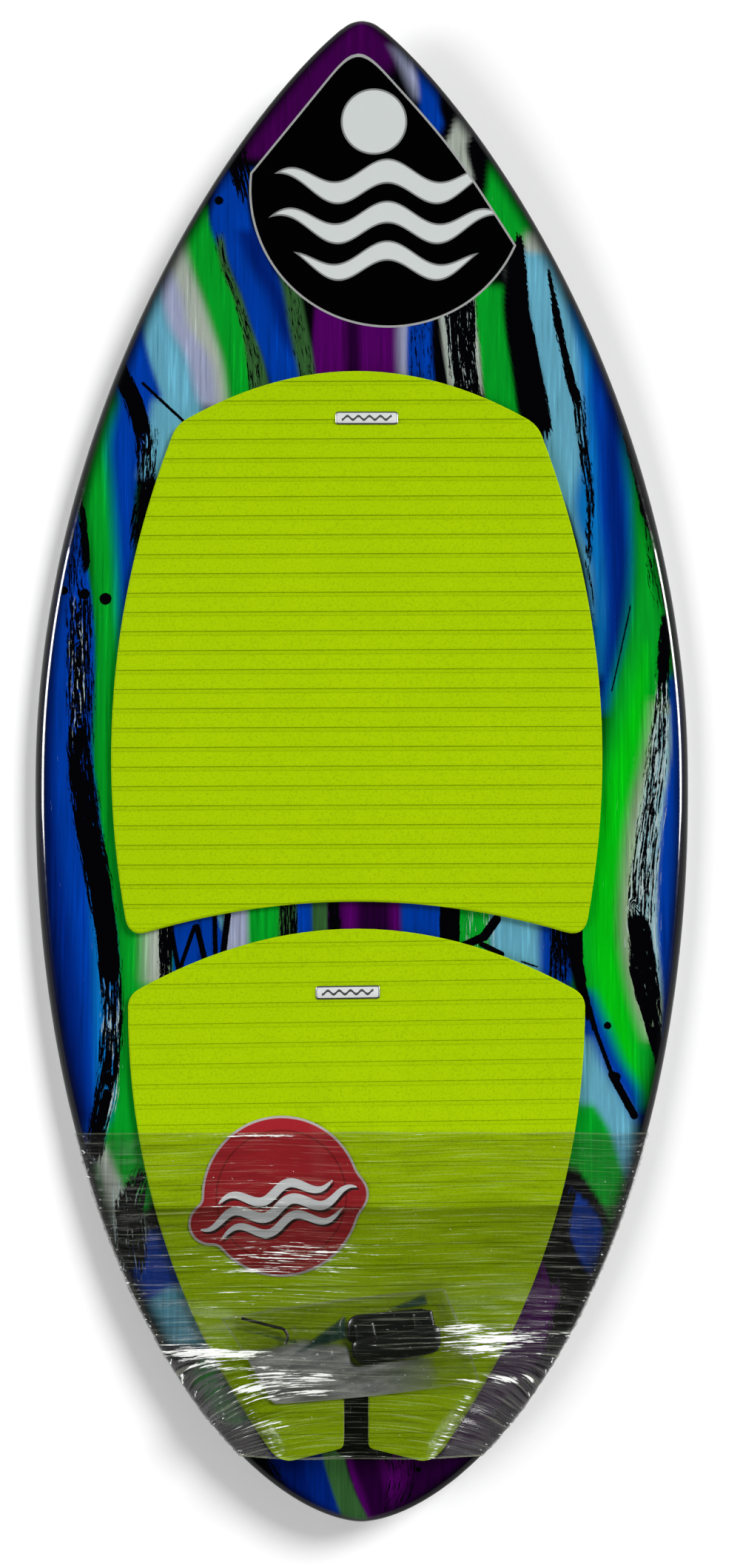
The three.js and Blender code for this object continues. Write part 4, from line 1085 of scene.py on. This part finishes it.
FRONT_GROOVES, REAR_GROOVES = (15.4, 0.004), (-158.3, 0.014)
front_pad = pad_piece("front_traction_pad", "front_pad", FRONT_CORNERS, [],
                      front_pad_under, 0.8, *FRONT_GROOVES)
rear_pad = pad_piece("rear_traction_pad", "rear_pad", REAR_CORNERS, RAISED,
                     rear_pad_under, 0.6, *REAR_GROOVES)
# the last number sets how strong the painted shade in the grooves is
foam_paint("lime_foam_front", front_pad, *FRONT_GROOVES, 0.45)
foam_paint("lime_foam_rear", rear_pad, *REAR_GROOVES, 0.35)

# ------------------------------------------------------------------ badges

BADGE_LENGTH, BADGE_WIDTH, BADGE_ROUND = 51, 10.6, 2.5
BADGE_EDGE, BADGE_GAP, BADGE_SIDE, BADGE_DOME = 0.9, 0.3, 0.35, 0.45
ZIGZAG = 9


def badge_piece(name, node, x, y, under, tilt):
    l, w = BADGE_LENGTH / 2, BADGE_WIDTH / 2
    r = BADGE_ROUND
    outline = soft_outline([(-l, w, r, 0), (l, w, r, 0), (l, -w, r, 0), (-l, -w, r, 0)])
    outline = turned(outline, tilt) + (x, y)
    slope = float(under(x, y + 5) - under(x, y - 5)) / 10

    def low(flat):
        return float(under(x, y)) + BADGE_GAP + slope * (flat[:, 1] - y)

    def high(flat):
        dome = np.clip(edge_distance(outline, flat) / BADGE_EDGE, 0, 1)
        return low(flat) + BADGE_SIDE + BADGE_DOME * np.sqrt(dome)

    piece = plate(name, outline, [closed(inset_outline(outline, BADGE_EDGE))], low, high)
    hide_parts(node)
    paint = Paint(name + "_rubber", Coat_Weight=0.3)
    at = paint.vector("SUBTRACT", paint.place, (x, y, 0))
    at = paint.node("VectorRotate", {"Vector": at, "Angle": -tilt}, rotation_type="Z_AXIS")
    u, v, _ = paint.split(at)
    from_end, from_side = l - abs(u), w - abs(v)
    line = 1.05 - abs(v - paint.sine(u * (TAU / ZIGZAG)) * 1.5)
    mark = paint.step(line, -0.2, 0.2) * paint.step(from_end, 4.5, 5.2)
    speck = paint.noise(paint.place, 1.8, 3, 0.7)
    tone = paint.layers((186, 190, 188), (speck, (214, 216, 214)), (mark, (46, 48, 46)))
    inside = paint.math("SMOOTH_MIN", from_end, from_side, 2.4)
    tone = paint.mix(paint.step(inside, 1.0, 1.3), (46, 50, 44), tone)
    paint.finish([piece], "badge_rubber", tone, mark, 0.0002, 0.5, Roughness=speck * 0.2 + 0.3)


badge_piece("front_pad_badge", "front_badge", 4, 272, front_pad_top, 0.0)
badge_piece("rear_pad_badge", "rear_badge", -11, -197, rear_pad_top, 0.014)

# ------------------------------------------------------------------ round card

CARD_X, CARD_Y, CARD_RADIUS, CARD_RING = -63, -357, 62.5, 51
CARD_GAP, CARD_THICKNESS, CARD_STEPS = 0.3, 0.5, 240
BANNER = dict(x=-65, y=-367, half=72, high=17, tilt=math.radians(12))
BANNER_BLEND = 5
# Waves along the banner: height, reach, length of one wave, rise, and half thickness.
CARD_WAVES = [(13, 46, 46, 5, 3.6), (0.5, 63, 46, 5, 4.0), (-12, 50, 46, 5, 3.2)]


def card_outline():
    """Round card with a wide banner across it, as one outline."""
    reach = np.linspace(20, 110, 900)
    out = []
    for angle in np.linspace(0, TAU, CARD_STEPS, endpoint=False):
        x, y = CARD_X + reach * math.cos(angle), CARD_Y + reach * math.sin(angle)
        disc = np.hypot(x - CARD_X, y - CARD_Y) - CARD_RADIUS
        u, v = seen_from(BANNER, x, y)
        end = np.clip(np.abs(u) - (BANNER["half"] - BANNER["high"]), 0, None)
        strip = np.hypot(end, v) - BANNER["high"]
        h = np.clip(0.5 + 0.5 * (strip - disc) / BANNER_BLEND, 0, 1)
        joined = lerp(strip, disc, h) - BANNER_BLEND * h * (1 - h)
        r = reach[np.argmax(joined > 0)]
        out.append((CARD_X + r * math.cos(angle), CARD_Y + r * math.sin(angle)))
    return np.array(out)


def card_piece():
    outline = card_outline()

    def low(flat):
        x, y = flat.T
        return rear_pad_top(x, y) + CARD_GAP + 0.25 * np.sin(x * 0.06) * np.sin(y * 0.05)

    spots = grid_spots(np.arange(-145, 18, 1.6), np.arange(-422, -292, 1.6), inset_outline(outline, 2.6))
    piece = plate("round_swing_card", outline, [closed(inset_outline(outline, 1.6))], low,
                  lambda flat: low(flat) + CARD_THICKNESS, spots)
    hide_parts("round_card")
    at = points_of(piece)[:, :2]
    give_field(piece, "rim", edge_distance(outline, at))
    for name, shift in (("wave", (0, 0)), ("shadow", (1.7, -1.8))):
        u, v = seen_from(BANNER, *(at - shift).T)
        inside = np.full(len(at), -50.0)
        for height, reach, pitch, rise, thick in CARD_WAVES:
            t = np.linspace(-reach, reach, 160)
            wave = height + rise * np.sin(TAU * t / pitch)
            half = thick * (1 - 0.82 * np.abs(t / reach) ** 3)
            inside = np.maximum(inside, np.max(half - np.hypot(u[:, None] - t, v[:, None] - wave), axis=1))
        give_field(piece, name, inside)
    return piece


def card_paint(card):
    paint = Paint("printed_card", Roughness=0.45, Specular_IOR_Level=0.1)
    fibre = paint.noise(paint.place, 0.9, 3, 0.6)
    from_ring = abs(paint.distance(CARD_X, CARD_Y) - CARD_RING)
    tone = paint.layers((140, 16, 27), (fibre, (160, 25, 35)),
                        (paint.step(from_ring, 1.0, 0.4), (118, 8, 18)),
                        (paint.step(paint.field("shadow"), -0.2, 0.2), (40, 4, 8)),
                        (paint.step(paint.field("wave"), -0.2, 0.2), (205, 208, 208)),
                        (paint.step(paint.field("rim"), 2.2, 1.6), (168, 160, 156)))
    paint.finish([card], "printed_card", tone, fibre, 0.00005, 0.4)


card_paint(card_piece())

# ------------------------------------------------------------------ carried-over parts

EVEN, ALONG, UPRIGHT = (1, 1, 1), (1, 0.04, 1), (1, 1, 0.1)
ADHESIVES = ("front_pad_adhesive", "rear_pad_adhesive")
RISERS = ("arch_bar", "tail_kick")
# Material, slot, how its nodes' names start, two colours, how the grain is stretched, its scale,
# least roughness, and how metallic it is.
PLAIN = [
    ("core_foam_beads", "core_foam", "foam_core", (222, 218, 204), (240, 237, 226), EVEN, 0.35, 0.75, 0),
    ("dense_foam_block", "dense_foam", "fin_block", (186, 166, 120), (208, 190, 148), EVEN, 0.5, 0.7, 0),
    ("stringer_grain", "stringer_wood", "stringer", (160, 118, 70), (205, 166, 112), ALONG, 0.5, 0.55, 0),
    ("fin_box_plastic", "box_plastic", "fin_box", (16, 17, 19), (30, 32, 35), EVEN, 1.2, 0.35, 0),
    ("screw_steel", "screw_steel", "grub_screw", (128, 132, 138), (176, 180, 186), UPRIGHT, 2.0, 0.2, 1),
    ("adhesive_film", "adhesive", ADHESIVES, (205, 198, 176), (222, 216, 196), EVEN, 0.8, 0.5, 0),
    ("riser_foam", "riser_foam", RISERS, (140, 176, 5), (158, 192, 8), EVEN, 1.4, 0.7, 0),
    ("key_black_oxide", "key_steel", "hex_key", (26, 25, 26), (58, 54, 52), EVEN, 1.5, 0.25, 0.9),
]

for name, slot, starts, low, high, stretch, scale, rough, metal in PLAIN:
    paint = Paint(name, Metallic=metal)
    grain = paint.noise(paint.vector("MULTIPLY", paint.place, stretch), scale, 4, 0.65)
    pieces = [NODES[node] for node in NODES if node.startswith(starts)]
    tone = paint.mix(grain, low, high)
    paint.finish(pieces, slot, tone, grain, 0.00005, 0.5, Roughness=grain * 0.25 + rough)

# ------------------------------------------------------------------ fins and bag

POUCH_Y = -472
POUCH_REACH = 30
POUCH_GAP, POUCH_THICKNESS = 1.2, 0.5
FIN_NEST = dict(x=PAD_X + 29, y=POUCH_Y + 8, half_x=39, half_y=22, tilt=math.radians(8))
KEY_NEST = dict(x=PAD_X - 72, y=POUCH_Y + 11, half_x=23, half_y=9, tilt=math.radians(-14))
NEST_ROUND = 9
FIN_RISE, KEY_RISE = 11.6, 3.2
POUCH_CORNERS = [(-106, 21, 3, 2), (69, 44, 3, 1), (96, -27, 3, 2), (-64, -44, 3, -1)]
SMOKE_LINE = -462
# Doubled folds of the bag: from, to, and half width at each end.
FOLDS = [(-52, -478, -8, -456, 1.5, 10), (12, -447, 52, -436, 0.5, 6), (-100, -458, -48, -470, 1.5, 3)]
FIN_LEAN = math.radians(2.5)
FIN_OVERLAP, FIN_SHIFT = 5, 2
FIN_FLOOR, FIN_LAYER, FIN_HALF = 0.7, 5.3, 2.5
BLADE_EDGE, TAB_EDGE = 9, 2.4


def pouch_plane(y):
    """Height of the bag's underside: a plane that slopes with the deck."""
    ahead, behind = (float(rear_pad_top(PAD_X, POUCH_Y + reach)) for reach in (POUCH_REACH, -POUCH_REACH))
    slope = (ahead - behind) / (2 * POUCH_REACH)
    return float(rear_pad_top(PAD_X, POUCH_Y)) + POUCH_GAP + slope * (y - POUCH_Y)


def value_noise(u, v, seed):
    """Smooth noise from 0 to 1 on a lattice of random numbers."""
    grid = np.random.default_rng(seed).random((256, 256))
    iu, iv = np.floor(u).astype(int), np.floor(v).astype(int)
    fu, fv = smoothstep(u - iu), smoothstep(v - iv)
    n = len(grid)
    a, b = grid[iu % n, iv % n], grid[(iu + 1) % n, iv % n]
    c, d = grid[iu % n, (iv + 1) % n], grid[(iu + 1) % n, (iv + 1) % n]
    return lerp(lerp(a, b, fu), lerp(c, d, fu), fv)


def crease(u, v, seed):
    """Noise with sharp ridges, from 0 to 1."""
    return 1 - np.abs(2 * value_noise(u, v, seed) - 1)


def nest_depth(nest, x, y):
    """How far inside a nest's rounded rectangle a point of the bag is."""
    u, v = seen_from(nest, x, y)
    qu, qv = np.abs(u) - nest["half_x"] + NEST_ROUND, np.abs(v) - nest["half_y"] + NEST_ROUND
    outside = np.hypot(np.clip(qu, 0, None), np.clip(qv, 0, None)) + np.minimum(np.maximum(qu, qv), 0)
    return NEST_ROUND - outside


def pouch_rise(x, y):
    """How far the fins and the key lift the bag."""
    fins = FIN_RISE * smoothstep((nest_depth(FIN_NEST, x, y) + 11) / 12)
    key = KEY_RISE * smoothstep((nest_depth(KEY_NEST, x, y) + 6) / 8)
    return np.maximum(fins, key)


def pouch_top(x, y):
    folds = 1.3 * crease(x / 17 + y / 30, y / 13 - x / 40, 5) ** 2
    folds += 0.8 * crease(x / 7, y / 9 + x / 15, 6) ** 2
    depth = nest_depth(FIN_NEST, x, y)
    near = smoothstep((depth + 34) / 30) * (1 - smoothstep((depth + 1) / 4))
    return pouch_plane(y) + POUCH_THICKNESS + pouch_rise(x, y) + folds * (0.5 + 0.8 * near)


def fin_pieces(name, node, layer):
    """Short fin with two mounting tabs, lying on its side, with all its edges rounded."""
    turn = 1 - 2 * layer

    def placed(flat):
        flat = turn * (flat - (FIN_SHIFT, FIN_OVERLAP / 2))
        return turned(flat, FIN_NEST["tilt"] - turn * FIN_LEAN) + (FIN_NEST["x"], FIN_NEST["y"])

    def slab(part, corners, insets, half):
        """A plate whose half thickness comes from the distance to its edge."""
        edge = placed(soft_outline(corners))

        def face(side):
            def height(flat):
                middle = pouch_plane(flat[:, 1]) + FIN_FLOOR + FIN_LAYER * layer + FIN_HALF
                return middle + side * half(edge_distance(edge, flat))

            return height

        return plate(part, edge, [closed(inset_outline(edge, d)) for d in insets], face(-1), face(1))

    def blade_half(d):
        return 0.05 + (FIN_HALF - 0.05) * np.sqrt(np.clip(1 - (1 - np.clip(d / BLADE_EDGE, 0, 1)) ** 2, 0, 1))

    def tab_half(d):
        return 0.5 + 1.3 * np.sqrt(np.clip(d / TAB_EDGE, 0, 1))

    blade = [(36, 0, 8, 0), (33, 21, 10, 0), (-33, 21, 10, 1), (-36, 0, 8, 0)]
    pieces = [slab(name, blade, (0.3, 0.9, 1.8, 3, 4.5, 6.5, BLADE_EDGE), blade_half)]
    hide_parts(node)
    for end, x in (("rear", -23), ("front", 23)):
        corners = [(x - 8, 0.5, 1, 0), (x + 8, 0.5, 1, 0), (x + 8, -12, 3, 0), (x - 8, -12, 3, 0)]
        pieces.append(slab(f"{name}_tab_{end}", corners, (0.6, 1.4, TAB_EDGE), tab_half))
    return pieces


def fin_paint(pieces):
    paint = Paint("moulded_black_fin", Specular_IOR_Level=0.5)
    tone = paint.mix(paint.noise(paint.place, 0.12, 4, 0.6), (6, 7, 9), (18, 19, 23))
    grain = paint.noise(paint.place, 3.0, 2, 0.7)
    paint.finish(pieces, "fin_plastic", tone, grain, 0.00004, 0.5, Roughness=grain * 0.16 + 0.2)


fin_paint(fin_pieces("left_fin", "fin_left", 0) + fin_pieces("right_fin", "fin_right", 1))


def pouch_piece():
    outline = soft_outline(POUCH_CORNERS)[::-1] + (PAD_X, POUCH_Y)
    spots = grid_spots(np.arange(-112, 100, 1.7), np.arange(-522, -420, 1.7), inset_outline(outline, 3.5))

    def low(flat):
        return pouch_plane(flat[:, 1])

    def high(flat):
        seam = smoothstep(edge_distance(outline, flat) / 5)
        return lerp(low(flat) + POUCH_THICKNESS / 2, pouch_top(*flat.T), seam)

    piece = plate("clear_pouch", outline, [closed(inset_outline(outline, 2.5))], low, high, spots, 60)
    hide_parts("fin_pouch")
    at = points_of(piece)
    x, y = at[:, 0], at[:, 1]
    give_field(piece, "rim", edge_distance(outline, at[:, :2]))
    over_fins = smoothstep(nest_depth(FIN_NEST, x, y) / 3 - 0.4)
    uneven = 26 * (value_noise(x / 24, y / 16, 21) - 0.5)
    below = smoothstep((SMOKE_LINE + 0.12 * x + uneven - y) / 16)
    to_right = smoothstep((62 - x + uneven) / 22) * (1 - 0.66 * smoothstep((x + 12) / 66))
    give_field(piece, "smoke", below * to_right * (1 - over_fins))
    give_field(piece, "taut", over_fins)
    fold = np.zeros(len(at))
    for ax, ay, bx, by, wide_a, wide_b in FOLDS:
        run = np.array((bx - ax, by - ay))
        length = np.linalg.norm(run)
        t = ((x - ax) * run[0] + (y - ay) * run[1]) / length**2
        away = np.abs((x - ax) * run[1] - (y - ay) * run[0]) / length
        inside = np.minimum(lerp(wide_a, wide_b, t) - away, np.minimum(t, 1 - t) * length)
        fold = np.maximum(fold, smoothstep(inside / 3.5))
    give_field(piece, "fold", fold * (1 - over_fins))
    return piece


def pouch_paint(pouch):
    paint = Paint("clear_bag_film", Specular_IOR_Level=0.22)
    x, y = paint.x, paint.y
    smoke, fold, taut, rim = (paint.field(name) for name in ("smoke", "fold", "taut", "rim"))
    haze = paint.streaks(x * 0.035 + y * 0.02, y * 0.13 - x * 0.02, 0, 4, 0.6)
    curl = paint.noise(paint.place, 0.05, 2, 0.5)
    fine = paint.streaks(x * 0.11 + curl * 3.0, y * 0.42 + curl * 5.0, 4, 4, 0.65)
    # glint: painted white highlights on the bag's wrinkles
    glint = paint.step(smoke * 0.06 + fine, 0.68, 0.73)
    seam = paint.step(rim, 2.6, 1.6)
    grey = paint.mix(paint.step(haze, 0.32, 0.68), (126, 130, 126), (172, 175, 170))
    tone = paint.layers((70, 84, 52), (paint.step(smoke, 0.0, 0.5), grey), (fold, (36, 70, 62)),
                        (seam * 0.6, (170, 176, 160)), (glint, (240, 242, 240)))
    veil = (haze * 0.12 + 0.03) * (1 - taut * 0.8)
    alpha = paint.most(smoke * (haze * 0.4 + 0.70), veil, fold * 0.78, seam * 0.22, glint * 0.85)
    paint.finish([pouch], "pouch_film", tone, fine, 0.0005, 0.4, Alpha=alpha, Roughness=fine * 0.25 + 0.12)


pouch_paint(pouch_piece())

# ------------------------------------------------------------------ stretch film

FILM_FRONT, FILM_BACK = -307.5, -556.5
FILM_ROWS, FILM_SIDE = 210, 84
FILM_LIFT, FILM_UNDER = 0.75, 1.2
OVER_CARD, OVER_POUCH = 1.0, 2.4
POUCH_LEFT, POUCH_RIGHT, POUCH_SLANT, POUCH_HALF = -104, 92, 0.13, 38
BRIDGE, BRIDGE_SPREAD = 6, 2.6
# Painted highlights where light catches the wrinkles: middle, reach along and across, and strength.
FILM_GLARE = [
    (-34, -496, 17, 5, 1.1), (-38, -507, 18, 3, 1.0), (-86, -504, 28, 6, 1.0), (-108, -479, 54, 5, 1.05),
    (80, -459, 24, 6, 1.0), (92, -474, 36, 6, 0.9), (-68, -531, 26, 9, 0.6), (-78, -488, 30, 4, 0.8),
    (-125, -478, 46, 8, 1.0), (-108, -486, 40, 6, 0.8), (-66, -498, 34, 14, 0.85), (-72, -510, 30, 7, 0.7),
    (104, -466, 52, 10, 0.95), (112, -480, 44, 5, 0.6), (108, -498, 34, 5, 0.9), (-60, -402, 84, 15, 0.62),
    (-62, -414, 70, 7, 0.6), (-76, -366, 66, 8, 0.5), (-70, -345, 60, 20, 0.35), (-85, -434, 62, 12, 0.45),
    (-72, -310, 76, 2.6, 0.75), (20, -310, 60, 2, 0.4), (-84, -530, 26, 22, 0.5), (24, -420, 160, 60, 0.18),
    (-20, -553, 60, 4, 0.4), (0, -440, 220, 90, 0.16),
]


def covered(x, y):
    """Height of what the film passes over."""
    z = np.where(np.abs(x - PAD_X) < rear_pad_half(y) - 1, rear_pad_top(x, y), deck_z(x, y))
    z = np.where(np.hypot(x - CARD_X, y - CARD_Y) < CARD_RADIUS + 2, z + OVER_CARD, z)
    px, py = x - PAD_X, y - POUCH_Y
    on_pouch = (px > POUCH_LEFT) & (px < POUCH_RIGHT) & (np.abs(py - POUCH_SLANT * px) < POUCH_HALF)
    return np.where(on_pouch, np.maximum(z, pouch_plane(y) + pouch_rise(x, y) + OVER_POUCH), z)


def taut_line(xs, zs):
    """Line pulled taut over points."""
    kept = []
    order = np.argsort(xs)
    for x, z in zip(xs[order], zs[order]):
        while len(kept) > 1:
            (ax, az), (bx, bz) = kept[-2:]
            if (bx - ax) * (z - az) - (bz - az) * (x - ax) < 0:
                break
            kept.pop()
        kept.append((x, z))
    return np.array(kept).T


def film_section(y):
    """One taut section of the film at y: points all the way round."""
    half, apex, under = float(half_width(y)), float(apex_z(y)), float(bottom_z(y))
    turn = np.radians(np.linspace(0, 90, 9))
    reach = half - DECK_EDGE + DECK_EDGE * np.cos(turn)
    rail_x = np.column_stack([reach, -reach]).ravel()
    rail_z = np.repeat(apex + (float(deck_z(half, y)) - apex) * np.sin(turn), 2)
    xs = np.linspace(-half + DECK_EDGE, half - DECK_EDGE, 141)
    near = [covered(xs, y + shift) - bottom_z(y + shift) for shift in (-5, -2.5, 0, 2.5, 5)]
    top = taut_line(np.append(xs, rail_x), np.append(np.max(near, axis=0) + under, rail_z))
    step = np.arange(2 * FILM_SIDE)
    x = half * np.cos(np.pi * step / FILM_SIDE)
    drop = np.clip((half - np.abs(x)) / BOTTOM_EDGE, 0, 1)
    below = apex - (apex - under) * np.sqrt(np.clip(1 - (1 - drop) ** 2, 0, 1))
    z = np.where(step < FILM_SIDE, np.interp(x, *top), below)
    z[0] = z[FILM_SIDE] = apex
    return np.column_stack([x, np.full(len(x), y), z])


def film_piece():
    ys = np.linspace(FILM_FRONT, FILM_BACK, FILM_ROWS)
    rings = np.array([film_section(y) for y in ys])
    # the film bridges short steps along the board
    kernel = np.exp(-0.5 * (np.arange(-BRIDGE, BRIDGE + 1) / BRIDGE_SPREAD) ** 2)
    kernel /= kernel.sum()
    padded = np.pad(rings[:, :, 2], ((BRIDGE, BRIDGE), (0, 0)), mode="edge")
    soft = sum(share * padded[k:k + FILM_ROWS] for k, share in enumerate(kernel))
    rings[:, :, 2] = np.maximum(soft, rings[:, :, 2] - 0.2)
    along = np.roll(rings, -1, axis=1) - np.roll(rings, 1, axis=1)
    normal = np.stack([along[:, :, 2], np.zeros(rings.shape[:2]), -along[:, :, 0]], axis=2)
    normal /= np.linalg.norm(normal, axis=2)[:, :, None]
    x, y, up = rings[:, :, 0], rings[:, :, 1], normal[:, :, 2]
    flow = y + 0.0021 * x**2 * smoothstep((-470 - y) / 70) + 1.5 * np.sin(x / 31 + 1.2)
    at_rail = smoothstep((np.abs(x) - half_width(ys)[:, None] + 11) / 9)
    ridges = 0.55 * crease(x / 70 + 9, flow / 5.2, 11) ** 3
    ridges += 0.35 * crease(x / 28, flow / 2.9 + x / 90, 12) ** 3
    beads = 0.6 * crease(x / 9, flow / 3.4, 13) ** 2 * at_rail
    free = np.clip(rings[:, :, 2] - np.where(up > 0, covered(x, y), -1e3), 0, 6) / 6
    lift = FILM_LIFT + FILM_UNDER * np.clip(-up, 0, None) + (0.45 + 0.9 * free) * ridges + beads
    points = rings + normal * lift[:, :, None]
    edge = np.minimum(ys[0] - ys, ys - ys[-1])[:, None]
    points[:, :, 1] += 1.6 * (value_noise(x / 40, y * 0 + 3, 14) - 0.5) * (1 - smoothstep(edge / 12))
    faces = loop_faces(FILM_ROWS, 2 * FILM_SIDE)
    piece = make_piece("tail_stretch_film", points.reshape(-1, 3), faces, 0)
    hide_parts("tail_film")
    give_field(piece, "flow", flow)
    # where painted highlights run along the rails
    give_field(piece, "rail", at_rail * np.where(up > -0.3, 1, 0.3))
    shine = np.zeros_like(x)
    for cx, cy, rx, ry, strength in FILM_GLARE:
        spot = np.exp(-(((x - cx) / rx) ** 2) - ((y - cy) / ry) ** 2) * strength
        shine = np.maximum(shine, np.where(up > 0, spot, 0.3 * spot))
    # and painted highlights along both sides of the tail kick
    side = np.abs(x - PAD_X)
    kick = np.exp(-(((rear_pad_half(y) - 6 - side) / 4.5) ** 2)) * smoothstep((-500 - y) / 8)
    give_field(piece, "shine", np.maximum(shine, 0.62 * kick * (up > 0)))
    off_pad = smoothstep((side - rear_pad_half(y)) / 6 + 0.3)
    grey = off_pad * (0.02 + 0.45 * smoothstep((-450 - y) / 60)) + 0.01
    give_field(piece, "haze", grey * np.where(up > -0.2, 1, 0.4))
    return piece


def film_paint(film):
    paint = Paint("wrinkled_stretch_film", Specular_IOR_Level=0.22)
    x, y = paint.x, paint.y
    flow, shine, rail, haze = (paint.field(name) for name in ("flow", "shine", "rail", "haze"))

    def lines(along, across, seed, detail=4):
        return paint.streaks(x * along, flow * across, seed, detail, 0.62)

    broad, long_lines, dashes = lines(0.010, 0.22, 1), lines(0.016, 0.75, 5), lines(0.055, 0.85, 9)
    # white: painted highlights on the wrinkles and along the rails
    white = paint.step(shine * 0.235 + paint.blend(0.5, long_lines, dashes), 0.66, 0.705)
    white = paint.most(white, paint.step(rail * 0.10 + lines(0.22, 0.5, 13, 3), 0.71, 0.76))
    # pale: painted sheen along the wrinkles
    pale = paint.step(shine * 0.10 + long_lines, 0.56, 0.68) * 0.20
    dark = paint.step(paint.blend(0.6, broad, long_lines), 0.50, 0.38)
    # the second layer, which starts in a darker line
    wavy = paint.sine(x * 0.03) + y
    second = paint.step(wavy, -364.0, -366.5)
    start = second * paint.step(wavy, -376.0, -366.0)
    deep = second * 0.17 + 0.18 + start * 0.12 + dark * 0.20
    threads = paint.step(lines(0.03, 1.25, 17), 0.42, 0.60)
    grey = haze * (threads * 1.25 + 0.3)
    body = deep + grey
    tone = paint.mix(grey / body, (10, 14, 2), (94, 91, 95))
    alpha = paint.math("MINIMUM", body, 0.8)
    tone = paint.mix(pale / (pale + alpha), tone, (206, 212, 186))
    edge = paint.math("MINIMUM", FILM_FRONT - y, y - FILM_BACK)
    hem = paint.step(edge, 2.0, 0.9) * 0.5
    tone = paint.layers(tone, (hem, (150, 160, 130)), (white, (246, 248, 244)))
    alpha = paint.most(alpha, pale, hem * 0.6, white * 0.94)
    paint.finish([film], "stretch_film", tone, long_lines * 0.7 + dashes * 0.5, 0.0008, 0.5,
                 Alpha=alpha, Roughness=long_lines * 0.2 + 0.08)


film_paint(film_piece())
